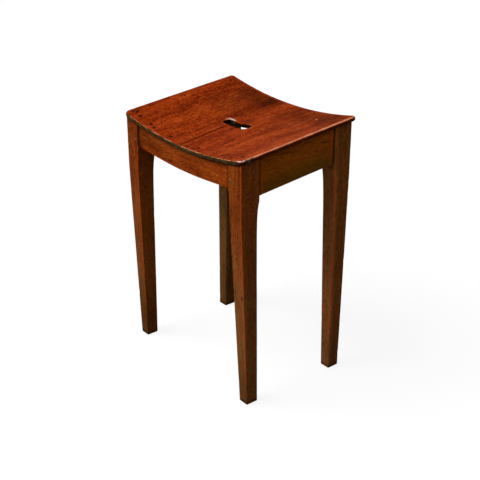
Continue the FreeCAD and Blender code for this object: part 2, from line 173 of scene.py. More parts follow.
@dataclass(frozen=True)
class SeatShape:
    """The dished, sloping slab that both seat boards are cut from and the frame is cut to."""

    width: float = 0.374
    depth: float = 0.277
    rise: float = 0.0295
    sag: float = 0.0215
    thickness: float = 0.0095
    edge_height: float = 0.520

    @property
    def tilt(self) -> float:
        """The slope's angle, in radians."""
        return math.asin(self.rise / self.depth)

    @property
    def half_stack(self) -> float:
        """Half the height of the dished slab."""
        return (self.sag + self.thickness) / 2

    @property
    def middle(self) -> float:
        """Height over the floor of the slab's middle plane, at the stool's centre."""
        return self.edge_height - self.half_stack / math.cos(self.tilt)

    @property
    def dish_radius(self) -> float:
        """Radius of the dished top face."""
        return ((self.width / 2) ** 2 + self.sag**2) / (2 * self.sag)

    def top(self, across: float) -> float:
        """Height of the top face over the middle plane."""
        return self.half_stack - self.sag + self.dish_radius - math.sqrt(self.dish_radius**2 - across**2)

    def under(self, across: float) -> float:
        """Height of the lower face over the middle plane."""
        radius = self.dish_radius + self.thickness
        return self.half_stack - self.sag + self.dish_radius - math.sqrt(radius**2 - across**2)

    def place(self, across: float, along: float, lift: float) -> Vector:
        """Move a point from the seat's own frame, lifted off its middle plane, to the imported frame."""
        cos, sin = math.cos(self.tilt), math.sin(self.tilt)
        return Vector((across, along * cos - lift * sin, self.middle + along * sin + lift * cos))

    def under_at(self, x: float, y: float) -> float:
        """Height over the floor of the boards' lower face, above a point of the floor."""
        cos, sin, lift = math.cos(self.tilt), math.sin(self.tilt), self.under(x)
        return self.middle + (y + lift * sin) / cos * sin + lift * cos

    def edge_at(self, y: float) -> float:
        """Height over the floor of the seat's top edge, at a distance behind the middle."""
        return self.edge_height + y * math.tan(self.tilt)


class OutlinePoint(NamedTuple):
    """A point of a rounded outline, and how far it lies on a worn arris, from 0 to 1."""

    a: float
    b: float
    arris: float


@dataclass(frozen=True)
class RoundedOutline:
    """A polygon with rounded corners, drawn with the same number of points at any size."""

    corners: tuple[Pair, ...]
    radii: tuple[float, ...]
    face_steps: int = 4
    arc_steps: int = 4
    margin: float = 1.6 * MM
    margin_share: float = 0.25
    margin_wear: float = 0.06
    arc_end_wear: float = 0.45

    def points(self) -> list[OutlinePoint]:
        """Draw the outline.

        Returns:
            The points in order, starting with the first corner's arc.
        """
        found: list[OutlinePoint] = []
        arcs = [self._arc(count) for count in range(len(self.corners))]
        for count, arc in enumerate(arcs):
            found += arc
            found += self._face(arc[-1], arcs[(count + 1) % len(arcs)][0])
        return found

    def _arc(self, count: int) -> list[OutlinePoint]:
        """Draw one corner's arc.

        Args:
            count: Which corner.

        Returns:
            The arc's points.
        """
        corner = Vector(self.corners[count])
        before = (Vector(self.corners[count - 1]) - corner).normalized()
        after = (Vector(self.corners[(count + 1) % len(self.corners)]) - corner).normalized()
        reach = self.radii[count] / math.tan(before.angle(after) / 2)
        found = []
        for step in range(self.arc_steps + 1):
            turn = math.pi / 2 * step / self.arc_steps
            spot = corner + before * reach * (1 - math.sin(turn)) + after * reach * (1 - math.cos(turn))
            wear = self.arc_end_wear + (1 - self.arc_end_wear) * math.sin(2 * turn)
            found.append(OutlinePoint(spot.x, spot.y, wear))
        return found

    def _face(self, start: OutlinePoint, end: OutlinePoint) -> list[OutlinePoint]:
        """Draw the points between two arcs, with one close to each.

        Args:
            start: The last point of the arc before.
            end: The first point of the arc after.

        Returns:
            The points between them.
        """
        first, last = Vector(start[:2]), Vector(end[:2])
        near = min(self.margin / max((last - first).length, 1e-6), self.margin_share)
        steps = self.face_steps - 2
        inner = [near + (1 - 2 * near) * k / steps for k in range(1, steps)]
        found = []
        for share in (near, *inner, 1 - near):
            spot = first.lerp(last, share)
            found.append(OutlinePoint(spot.x, spot.y, 0.0 if share in inner else self.margin_wear))
        return found


@dataclass
class PieceMesh:
    """The points, faces and surface masks of one piece while it is being made."""

    points: list[Vector] = field(default_factory=list)
    faces: list[tuple[int, ...]] = field(default_factory=list)
    flat: list[tuple[int, ...]] = field(default_factory=list)
    masks: dict[str, list[float]] = field(default_factory=lambda: {mask: [] for mask in MASKS})
    cap_shares: Pair = (0.72, 0.36)
    quad_bend: float = 0.6
    quad_skew: float = 0.9

    def add(self, point: Vector, **masks: float) -> int:
        """Add one point.

        Args:
            point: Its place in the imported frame.
            masks: How much of each named mask it has; the others are 0.

        Returns:
            The point's number.
        """
        self.points.append(point)
        for mask, values in self.masks.items():
            values.append(min(max(masks.get(mask, 0.0), 0.0), 1.0))
        return len(self.points) - 1

    def bridge(self, first: Sequence[int], second: Sequence[int]) -> None:
        """Skin the band between two closed loops.

        Args:
            first: The first loop's points.
            second: The second loop's points, as many as the first has.
        """
        for count in range(len(first)):
            after = (count + 1) % len(first)
            self.faces.append((first[count], first[after], second[after], second[count]))

    def skin(self, rings: Sequence[Sequence[int]]) -> None:
        """Skin the bands between the rings of a stack."""
        for first, second in zip(rings, rings[1:]):
            self.bridge(first, second)

    def close_end(self, loop: Sequence[int], **masks: float) -> None:
        """Close a loop with two shrinking rings and a small middle face.

        Args:
            loop: The loop's points.
            masks: The masks of the new points.
        """
        centre = sum((self.points[k] for k in loop), Vector()) / len(loop)
        outer = list(loop)
        for share in self.cap_shares:
            inner = [self.add(centre.lerp(self.points[k], share), **masks) for k in loop]
            self.bridge(outer, inner)
            outer = inner
        self.faces.append(tuple(outer))

    def loft(self, rings: Sequence[Sequence[int]], **end_masks: float) -> None:
        """Skin a stack of rings and close both its ends, which have masks of their own."""
        self.skin(rings)
        for ring in (rings[0], rings[-1]):
            self.close_end(ring, **end_masks)

    def build(self, name: str) -> bpy.types.Object:
        """Make the object: faces outward, flat caps turned to quads, smooth shading.

        Args:
            name: The piece's name.

        Returns:
            The new object, linked to the scene.
        """
        mesh = bpy.data.meshes.new(name)
        mesh.from_pydata([tuple(p) for p in self.points], [], self.faces + self.flat)
        for mask, values in self.masks.items():
            layer = mesh.attributes.new(mask, "FLOAT", "POINT")
            layer.data.foreach_set("value", values)
        work = bmesh.new()
        work.from_mesh(mesh)
        work.faces.ensure_lookup_table()
        triangles = [face for face in work.faces if face.index >= len(self.faces)]
        if triangles:
            bmesh.ops.join_triangles(
                work, faces=triangles,
                angle_face_threshold=self.quad_bend, angle_shape_threshold=self.quad_skew)
        bmesh.ops.recalc_face_normals(work, faces=work.faces)
        for face in work.faces:
            face.smooth = True
        work.to_mesh(mesh)
        work.free()
        piece = bpy.data.objects.new(name, mesh)
        bpy.context.scene.collection.objects.link(piece)
        piece.modifiers.new("even_shading", "WEIGHTED_NORMAL")
        return piece


@dataclass(frozen=True)
class Pattern:
    """A noise: its sizes across and along the grain in millimetres, its octaves and their strength."""

    across: float
    along: float
    detail: float = 2.0
    rough: float = 0.5


def opaque(colour: object) -> object:
    """Give a plain colour its fourth share, and leave a socket as it is."""
    return (*colour, 1.0) if isinstance(colour, tuple) else colour


class Shader:
    """A material's nodes, laid out by short calls that each return a socket.

    What a call works on may be a plain value or another node's socket.
    """

    # the range of a noise that is spread to run from about 0 to 1
    NOISE_RANGE = (0.27, 0.73)

    def __init__(self, name: str) -> None:
        """Start an empty material with a shader output.

        Args:
            name: The material's name.
        """
        self.material = bpy.data.materials.new(name)
        self.material.use_nodes = True
        self.tree = self.material.node_tree
        self.tree.nodes.clear()

    def node(self, kind: str, inputs: dict[int | str, object], **settings: object) -> bpy.types.Node:
        """Add one node, set its properties and fill its inputs.

        Args:
            kind: Blender's name for the kind of node.
            inputs: Plain values or sockets, by the input's number or name.
            settings: The properties' values by name.

        Returns:
            The node.
        """
        made = self.tree.nodes.new(f"ShaderNode{kind}")
        for setting, value in settings.items():
            setattr(made, setting, value)
        for key, value in inputs.items():
            if isinstance(value, Socket):
                self.tree.links.new(value, made.inputs[key])
            else:
                made.inputs[key].default_value = value
        return made

    def math(self, operation: str, first: object, second: object, clamp: bool = False) -> Socket:
        """Work on two numbers, and keep the result between 0 and 1 where it is clamped."""
        return self.node("Math", {0: first, 1: second}, operation=operation, use_clamp=clamp).outputs[0]

    def times(self, first: object, second: object, clamp: bool = False) -> Socket:
        """Multiply two numbers."""
        return self.math("MULTIPLY", first, second, clamp)

    def plus(self, first: object, second: object, clamp: bool = False) -> Socket:
        """Add two numbers."""
        return self.math("ADD", first, second, clamp)

    def scaled(self, value: object, factor: float, start: float) -> Socket:
        """Multiply a value by a factor and add the result to a start."""
        return self.plus(self.times(value, factor), start)

    def swing(self, pattern: object, weight: float) -> Socket:
        """Turn a pattern from 0 to 1 into one that swings round 0, by half the weight each way."""
        return self.times(self.math("SUBTRACT", pattern, 0.5), weight)

    def peaks(self, pattern: object, low: float, high: float, strength: float) -> Socket:
        """Show only a pattern's peaks, from where they start to where they are full, at a strength."""
        return self.times(self.spread(pattern, low, high, soft=True), strength)

    def vector(self, operation: str, first: object, second: object = (0, 0, 0)) -> Socket:
        """Work on two vectors."""
        made = self.node("VectorMath", {0: first, 1: second}, operation=operation)
        return made.outputs["Value" if operation == "LENGTH" else "Vector"]

    def attribute(self, name: str) -> Socket:
        """Read one of the piece's surface masks."""
        return self.node("Attribute", {}, attribute_name=name).outputs["Fac"]

    def place(self) -> Socket:
        """Read the place on the object, in millimetres."""
        return self.vector("MULTIPLY", self.node("TexCoord", {}).outputs["Object"], (1000, 1000, 1000))

    def along(self, grain: Grain, seed: float) -> Socket:
        """Read the place in millimetres with its third share along the grain.

        Args:
            grain: The axis that the grain runs along.
            seed: A number that moves each piece to its own part of the pattern.

        Returns:
            The vector's socket.
        """
        split = self.node("SeparateXYZ", {0: self.place()})
        joined = self.node("CombineXYZ", {k: split.outputs[axis] for k, axis in enumerate(grain.value)})
        return self.vector("ADD", joined.outputs[0], tuple(seed * step for step in PATTERN_SEED_STEPS))

    def texture(self, spot: object, pattern: Pattern) -> bpy.types.Node:
        """Add a noise texture, read at a place in millimetres."""
        spot = self.vector("MULTIPLY", spot, (1 / pattern.across, 1 / pattern.across, 1 / pattern.along))
        return self.node(
            "TexNoise", {"Vector": spot, "Scale": 1.0, "Detail": pattern.detail, "Roughness": pattern.rough})

    def noise(self, spot: object, pattern: Pattern) -> Socket:
        """Draw a noise, spread to run from about 0 to 1."""
        return self.spread(self.texture(spot, pattern).outputs["Fac"], *self.NOISE_RANGE)

    def stray(self, spot: object, pattern: Pattern, reach: Triple) -> Socket:
        """Move a place about by a noise, up to a reach along each axis, in millimetres."""
        drift = self.vector("SUBTRACT", self.texture(spot, pattern).outputs["Color"], (0.5, 0.5, 0.5))
        return self.vector("ADD", spot, self.vector("MULTIPLY", drift, reach))

    def spread(self, value: object, low: float, high: float, soft: bool = False) -> Socket:
        """Stretch a range of a value to run from 0 to 1, clamped, with ends that ease in where soft."""
        kind = "SMOOTHSTEP" if soft else "LINEAR"
        return self.node("MapRange", {0: value, 1: low, 2: high}, interpolation_type=kind).outputs[0]

    def ramp(self, value: object, stops: Iterable[tuple[float, Colour]]) -> Socket:
        """Colour a value by a few stops.

        Args:
            value: The value's socket.
            stops: Pairs of place and linear colour, in order.

        Returns:
            The colour's socket.
        """
        made = self.node("ValToRGB", {0: value})
        stops, band = list(stops), made.color_ramp.elements
        while len(band) < len(stops):
            band.new(0.5)
        for element, (spot, colour) in zip(band, stops):
            element.position, element.color = spot, opaque(colour)
        return made.outputs["Color"]

    def mix(self, share: object, first: object, second: object) -> Socket:
        """Mix two colours by the share of the second."""
        inputs = {0: share, 6: opaque(first), 7: opaque(second)}
        return self.node("Mix", inputs, data_type="RGBA", clamp_factor=True).outputs[2]

    def bump(self, height: object, depth: float, **under: Socket) -> Socket:
        """Raise and sink the shading by a height whose 1 is a depth in metres, over another Normal."""
        made = self.node("Bump", {"Strength": 1.0, "Distance": depth, "Height": height, **under})
        return made.outputs["Normal"]

    def finish(self, shader: Socket) -> bpy.types.Material:
        """Put a shader on the surface and give the material."""
        self.node("OutputMaterial", {"Surface": shader})
        return self.material

    def surface(self, **inputs: object) -> bpy.types.Material:
        """Finish with a principled surface, whose inputs' names have underscores for spaces."""
        named = {word.replace("_", " "): value for word, value in inputs.items()}
        return self.finish(self.node("BsdfPrincipled", named).outputs[0])


@dataclass(frozen=True)
class Mark:
    """An old dent, nail trace or chip, in millimetres, and how pale or dark it is.

    A mark without a height lies on the seat, and goes through it; one with a height lies on an
    upright face. Its second half size is then upright.
    """

    x: float
    y: float
    half_x: float
    half_y: float
    tone: Colour
    strength: float = 0.8
    z: float | None = None

    @property
    def place(self) -> Triple:
        """The mark's middle."""
        return self.x, self.y, self.z or 0.0

    @property
    def density(self) -> Triple:
        """How many half sizes a millimetre is along each axis; 0 along the one it goes through."""
        upright = 1 / self.half_y
        return (1 / self.half_x, upright, 0.0) if self.z is None else (1 / self.half_x, 0.0, upright)


# the patterns of polished wood: figure, grain, cross ripple, stains, pores, specks and wear
SWAY = Pattern(90, 260, 1.0)
BROAD = Pattern(34, 330)
STREAK = Pattern(5.2, 74, 3.0, 0.55)
LINE = Pattern(1.9, 12.0, 2.0, 0.6)
RIPPLE = Pattern(15, 5.4, 3.0, 0.62)
BLOTCH = Pattern(46, 85, 4.0, 0.6)
PORE = Pattern(0.62, 9.0, 1.0)
FLECK = Pattern(2.1, 12.0)
SPARK = Pattern(2.4, 4.4, 1.0)
CHAFE = Pattern(3.5, 3.5, 3.0, 0.6)
PATCH = Pattern(22, 22, 1.0)
WAVE = Pattern(18, 70, 1.0)
RAGGED = Pattern(20 / 9, 20 / 9)


class WoodPatterns(NamedTuple):
    """The places and patterns of one piece's wood that several of its looks share."""

    straight: Socket
    spot: Socket
    line: Socket
    ripple: Socket
    blotch: Socket
    patch: Socket


@dataclass(frozen=True)
class PolishedWood:
    """Old polished hardwood: figure, streaks, pores, stains, worn arrises with painted highlights, dirt with
    painted shade, and a soft sheen.
    """

    grain: Grain
    dark: Colour
    deep: Colour
    body: Colour
    glow: Colour
    rubbed_and_highlight: Colour
    worn: Colour
    soot_and_shade: Colour = srgb(16, 10, 3)
    ends: Colour = srgb(96, 80, 44)
    faded: Colour = srgb(134, 86, 42)
    dry: Colour = srgb(92, 58, 30)
    sheen: Colour = (1.0, 0.58, 0.30)
    figure: float = 0.58
    streaks: float = 0.55
    grit: float = 0.70
    mottle: float = 0.34
    flecks: float = 0.55
    stains: float = 0.25
    gloss: float = 0.012
    roughness: float = 0.46
    tone_places: tuple[float, ...] = (0.0, 0.3, 0.58, 0.95)
    rubbed_and_highlight_range: Pair = (0.24, 0.58)
    worn_range: Pair = (0.48, 0.90)
    grain_depth: float = 0.12 * MM
    wave_depth: float = 0.35 * MM
    marks: tuple[Mark, ...] = ()
    mark_stray: float = 2.6
    mark_edge: Pair = (0.55, 1.35)

    def material(self, name: str, seed: float) -> bpy.types.Material:
        """Build the finish for one piece.

        Args:
            name: The material's name.
            seed: A number that gives the piece its own part of the pattern.

        Returns:
            The material.
        """
        nodes = Shader(name)
        straight = nodes.along(self.grain, seed)
        spot = nodes.stray(straight, SWAY, (26, 26, 0))
        wood = WoodPatterns(
            straight, spot, nodes.noise(spot, LINE), nodes.noise(spot, RIPPLE),
            nodes.noise(straight, BLOTCH), nodes.noise(nodes.place(), PATCH))
        pits = nodes.times(nodes.spread(nodes.noise(spot, PORE), 0.62, 0.85), 0.5)

        colour = nodes.mix(pits, self._figured(nodes, wood), self.dark)
        colour = self._add_marks(nodes, self._rub(nodes, wood, colour))
        grime = nodes.times(nodes.attribute("grime"), nodes.scaled(wood.blotch, 0.4, 0.75), clamp=True)
        # dirt and painted shade darken the colour towards the near-black soot colour
        colour = nodes.mix(grime, colour, self.soot_and_shade)

        rough = nodes.plus(nodes.scaled(pits, 0.2, self.roughness), nodes.swing(wood.patch, 0.12))
        rough = nodes.plus(rough, nodes.times(grime, 0.3), clamp=True)
        relief = nodes.bump(nodes.plus(wood.line, nodes.times(pits, -1.5)), self.grain_depth)
        relief = nodes.bump(nodes.noise(straight, WAVE), self.wave_depth, Normal=relief)
        return nodes.surface(
            Base_Color=colour, Roughness=rough, Normal=relief, Specular_IOR_Level=self.gloss,
            Specular_Tint=(*self.sheen, 1.0))

    def _figured(self, nodes: Shader, wood: WoodPatterns) -> Socket:
        """Colour the wood itself: its figure, stains and specks, and a pale olive tint that is partly fading
        and partly painted light and shade.

        Args:
            nodes: The material being made.
            wood: The piece's patterns.

        Returns:
            The colour.
        """
        broad, streak = nodes.noise(wood.spot, BROAD), nodes.noise(wood.spot, STREAK)
        tone = nodes.swing(broad, self.figure)
        for value, weight in ((streak, self.streaks), (wood.line, self.grit), (wood.ripple, self.mottle)):
            tone = nodes.plus(tone, nodes.swing(value, weight))
        tone = nodes.plus(tone, 0.5, clamp=True)
        colour = nodes.ramp(tone, zip(self.tone_places, (self.dark, self.deep, self.body, self.glow)))
        pale = nodes.times(nodes.attribute("faded"), nodes.scaled(broad, 0.3, 0.85))
        dusk = nodes.mix(0.4, self.faded, self.dark)
        colour = nodes.mix(pale, colour, nodes.mix(streak, dusk, self.faded))
        colour = nodes.mix(nodes.peaks(wood.blotch, 0.55, 0.95, self.stains), colour, self.dark)
        flecks = nodes.peaks(nodes.noise(wood.spot, FLECK), 0.68, 0.9, self.flecks)
        colour = nodes.mix(flecks, colour, self.dark)
        sparks = nodes.peaks(nodes.noise(wood.straight, SPARK), 0.64, 0.84, self.flecks)
        return nodes.mix(sparks, colour, self.rubbed_and_highlight)

    def _rub(self, nodes: Shader, wood: WoodPatterns, colour: Socket) -> Socket:
        """Dry out the bare wood, darken the end grain and rub the polish off where it is worn, which also
        paints the highlights along the arrises.

        Args:
            nodes: The material being made.
            wood: The piece's patterns.
            colour: The polished wood's colour.

        Returns:
            The colour.
        """
        raw = nodes.times(nodes.attribute("raw"), 0.85)
        colour = nodes.mix(raw, colour, nodes.mix(0.55, colour, self.dry))
        end_grain = nodes.attribute("end_grain")
        ends = nodes.mix(wood.ripple, self.soot_and_shade, self.ends)
        colour = nodes.mix(nodes.times(end_grain, 0.92), colour, ends)
        chafe = nodes.noise(nodes.place(), CHAFE)
        reach = nodes.plus(nodes.attribute("wear"), nodes.swing(chafe, 0.5))
        reach = nodes.plus(reach, nodes.swing(wood.patch, 0.35))
        left = nodes.math("SUBTRACT", 0.85, end_grain, clamp=True)
        rubbed_and_highlight = nodes.times(nodes.spread(reach, *self.rubbed_and_highlight_range, soft=True), left)
        colour = nodes.mix(rubbed_and_highlight, colour, self.rubbed_and_highlight)
        worn = nodes.spread(reach, *self.worn_range, soft=True)
        return nodes.mix(worn, colour, nodes.mix(nodes.times(chafe, 0.35), self.worn, self.rubbed_and_highlight))

    def _add_marks(self, nodes: Shader, colour: Socket) -> Socket:
        """Lay the old marks over a colour, each with a ragged edge.

        Args:
            nodes: The material being made.
            colour: The colour under the marks.

        Returns:
            The colour with its marks.
        """
        if not self.marks:
            return colour
        spot = nodes.stray(nodes.place(), RAGGED, (self.mark_stray,) * 3)
        for mark in self.marks:
            away = nodes.vector("MULTIPLY", nodes.vector("SUBTRACT", spot, mark.place), mark.density)
            away = nodes.spread(nodes.vector("LENGTH", away), *self.mark_edge, soft=True)
            near = nodes.math("SUBTRACT", 1.0, away)
            colour = nodes.mix(nodes.times(near, mark.strength), colour, mark.tone)
        return colour


@dataclass(frozen=True)
class RoughSawnWood:
    """Dull unpolished wood of a hidden block: saw lines, dry streaks and old glue."""

    grain: Grain = Grain.UPRIGHT
    pale: Colour = srgb(128, 92, 56)
    brown: Colour = srgb(84, 54, 30)
    glue: Colour = srgb(70, 40, 16)
    streaks: Pattern = Pattern(3.0, 60, 3.0)
    saw_lines: Pattern = Pattern(60, 1.3, 1.0)
    runs: Pattern = Pattern(16, 22, 3.0)

    def material(self, name: str, seed: float) -> bpy.types.Material:
        """Build the finish for one block.

        Args:
            name: The material's name.
            seed: A number that gives the block its own part of the pattern.

        Returns:
            The material.
        """
        nodes = Shader(name)
        spot = nodes.along(self.grain, seed)
        streak, saw = nodes.noise(spot, self.streaks), nodes.noise(spot, self.saw_lines)
        colour = nodes.mix(streak, self.brown, self.pale)
        colour = nodes.mix(nodes.times(saw, 0.3), colour, self.brown)
        glue = nodes.peaks(nodes.noise(spot, self.runs), 0.6, 0.9, 0.7)
        colour = nodes.mix(glue, colour, self.glue)
        # the block's mask darkens it towards the glue colour, as painted shade in its inner corner and under
        # the seat
        colour = nodes.mix(nodes.times(nodes.attribute("grime"), 0.8), colour, self.glue)
        rough = nodes.math("SUBTRACT", 0.85, nodes.times(glue, 0.35))
        relief = nodes.bump(nodes.plus(saw, streak), 0.25 * MM)
        return nodes.surface(Base_Color=colour, Roughness=rough, Normal=relief, Specular_IOR_Level=0.15)


@dataclass(frozen=True)
class Stopping:
    """Dark wax and pitch pressed over the nail heads, shrunk and dusty."""

    pitch: Colour = srgb(14, 11, 6)
    dust: Colour = srgb(50, 44, 32)
    speckles: Pattern = Pattern(1.1, 1.1, 3.0)
    each_cap: Pattern = Pattern(55, 55, 0.0)
    seed_step: float = 31.0

    def material(self, name: str, seed: float) -> bpy.types.Material:
        """Build the finish for one group of stopping.

        Args:
            name: The material's name.
            seed: A number that moves the pattern.

        Returns:
            The material.
        """
        nodes = Shader(name)
        spot = nodes.vector("ADD", nodes.place(), (seed * self.seed_step, 0.0, 0.0))
        speckle = nodes.noise(spot, self.speckles)
        dusty = nodes.scaled(nodes.noise(spot, self.each_cap), 0.5, 0.25)
        share = nodes.times(nodes.spread(speckle, 0.35, 0.95), dusty)
        colour = nodes.mix(share, self.pitch, self.dust)
        relief = nodes.bump(speckle, 0.2 * MM)
        return nodes.surface(Base_Color=colour, Roughness=0.7, Normal=relief, Specular_IOR_Level=0.03)


@dataclass(frozen=True)
class NailIron:
    """Dark forged iron with specks of rust."""

    iron: Colour = srgb(60, 56, 54)
    rust: Colour = srgb(104, 52, 26)
    speckles: Pattern = Pattern(0.9, 0.9, 4.0, 0.6)
    blooms: Pattern = Pattern(5.0, 5.0, 3.0)
    seed_step: float = 17.0

    def material(self, name: str, seed: float) -> bpy.types.Material:
        """Build the finish for one group of nails.

        Args:
            name: The material's name.
            seed: A number that moves the pattern.

        Returns:
            The material.
        """
        nodes = Shader(name)
        spot = nodes.vector("ADD", nodes.place(), (seed * self.seed_step, 0.0, 0.0))
        speckle = nodes.noise(spot, self.speckles)
        bloom = nodes.spread(nodes.noise(spot, self.blooms), 0.4, 0.8, soft=True)
        colour = nodes.mix(nodes.times(bloom, speckle), self.iron, self.rust)
        rough = nodes.scaled(bloom, 0.35, 0.45)
        metal = nodes.math("SUBTRACT", 0.9, nodes.times(bloom, 0.8))
        relief = nodes.bump(speckle, 0.15 * MM)
        return nodes.surface(Base_Color=colour, Roughness=rough, Metallic=metal, Normal=relief)


@dataclass(frozen=True)
class StageWhite:
    """The studio's plain white floor and backdrop, which keep the stool's shadow."""

    glow: float = 0.88
    shade: Colour = (0.13, 0.13, 0.13)
    bounce: Colour = (0.21, 0.20, 0.19)

    def material(self, name: str) -> bpy.types.Material:
        """Build the stage's finish.

        Args:
            name: The material's name.

        Returns:
            The material.
        """
        nodes = Shader(name)
        path = nodes.node("LightPath", {}).outputs
        seen = nodes.math("MAXIMUM", path["Is Camera Ray"], path["Is Glossy Ray"])
        seen = nodes.math("MAXIMUM", seen, path["Is Transmission Ray"])
        bounce = nodes.node("BsdfDiffuse", {"Color": opaque(self.bounce)}).outputs[0]
        shade = nodes.node("BsdfDiffuse", {"Color": opaque(self.shade)}).outputs[0]
        glow = nodes.node("Emission", {"Strength": self.glow}).outputs[0]
        white = nodes.node("AddShader", {0: glow, 1: shade}).outputs[0]
        return nodes.finish(nodes.node("MixShader", {0: seen, 1: bounce, 2: white}).outputs[0])


def dress(piece: bpy.types.Object, material: bpy.types.Material, node: str) -> None:
    """Give a finished piece its material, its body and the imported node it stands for.

    Args:
        piece: The piece.
        material: Its finish.
        node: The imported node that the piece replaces.
    """
    piece.data.materials.append(material)
    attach(piece, "root")
    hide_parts(node)
    LOG.info("%s: %d faces, stands for %s", piece.name, len(piece.data.polygons), node)


@dataclass(frozen=True)
class Station:
    """One place on a board's outline: where it is, which way is inward and what edge it is on."""

    across: float
    along: float
    inward: Pair
    edge: Edge


@dataclass(frozen=True)
class BoardJoint:
    """The glued joint between the two boards, slightly askew to the grain and open in front."""

    front_shift: float = 1.2 * MM
    back_shift: float = 20.2 * MM
    depth: float = 0.277
    closed: float = 0.14
    opening: Pair = (0.012, 0.030)
    front_end: Pair = (0.120, 0.136)

    def across(self, along: float) -> float:
        """Distance of the joint right of the middle, at a distance along the seat."""
        lean = (self.front_shift - self.back_shift) / self.depth
        return along * lean - (self.front_shift + self.back_shift) / 2

    def openness(self, along: float) -> float:
        """How open and dark the joint is at a distance along the seat, from 0 to 1."""
        open_here = smooth(-along, *self.opening) * (1 - 0.35 * smooth(-along, *self.front_end))
        return self.closed + (1 - self.closed) * open_here


@dataclass(frozen=True)
class HandSlot:
    """The slot through the middle of the seat, for carrying the stool with one hand."""

    length: float = 0.066
    width: float = 0.022
    corner: float = 0.008
    side_shift: float = 1.7 * MM
    front_shift: float = 3.3 * MM
    far_wave: float = 4.2 * MM
    far_wave_span: Pair = (0.006, 0.027)
    near_wave: float = 1.6 * MM
    near_wave_span: Pair = (0.0, 0.022)
    pinch: float = 2.3 * MM
    pinch_at: float = -0.002
    pinch_reach: float = 0.011

    @property
    def front(self) -> float:
        """The slot's front edge, along the seat."""
        return -self.front_shift - self.width / 2

    @property
    def back(self) -> float:
        """The slot's back edge, along the seat."""
        return self.front + self.width

    def end(self, side: Side) -> float:
        """Distance of the slot's end from the middle, on one side."""
        return self.length / 2 + self.side_shift * side.value

    def wander(self, real: float, along: float) -> float:
        """How far the hand-cut slot's edges stray from straight lines.

        Args:
            real: Distance right of the middle.
            along: Distance along the seat.

        Returns:
            The stray, along the seat.
        """
        far_edge = smooth(along, self.front + 0.3 * self.width, self.back)
        pinched = math.exp(-(((real - self.pinch_at) / self.pinch_reach) ** 2))
        far_stray = self.far_wave * smooth(real, *self.far_wave_span) - self.pinch * pinched
        return far_edge * far_stray + (1 - far_edge) * self.near_wave * smooth(real, *self.near_wave_span)


@dataclass(frozen=True)
class NailPlan:
    """Where the nails go through the seat, as pairs of distance across and along it."""

    front_row: float = 0.1235
    back_row: float = 0.1185
    near: float = 0.043
    far: float = 0.113
    leg_x: float = 0.1687
    leg_row: float = 0.1185
    side_x: float = 0.1705

    def places(self, group: NailGroup) -> list[Pair]:
        """List one group's nails.

        Args:
            group: The group.

        Returns:
            Pairs of distance across and along the seat.
        """
        if group is NailGroup.LEGS:
            return [(s * self.leg_x, e * self.leg_row) for s in (-1, 1) for e in (-1, 1)]
        if group is NailGroup.SIDES:
            return [(s * self.side_x, 0.0) for s in (-1, 1)]
        row = self.back_row if group is NailGroup.BACK else -self.front_row
        return [(s * spot, row) for s in (-1, 1) for spot in (self.near, self.far)]

    def all_places(self) -> list[Pair]:
        """List every nail of the seat."""
        return [spot for group in NailGroup for spot in self.places(group)]


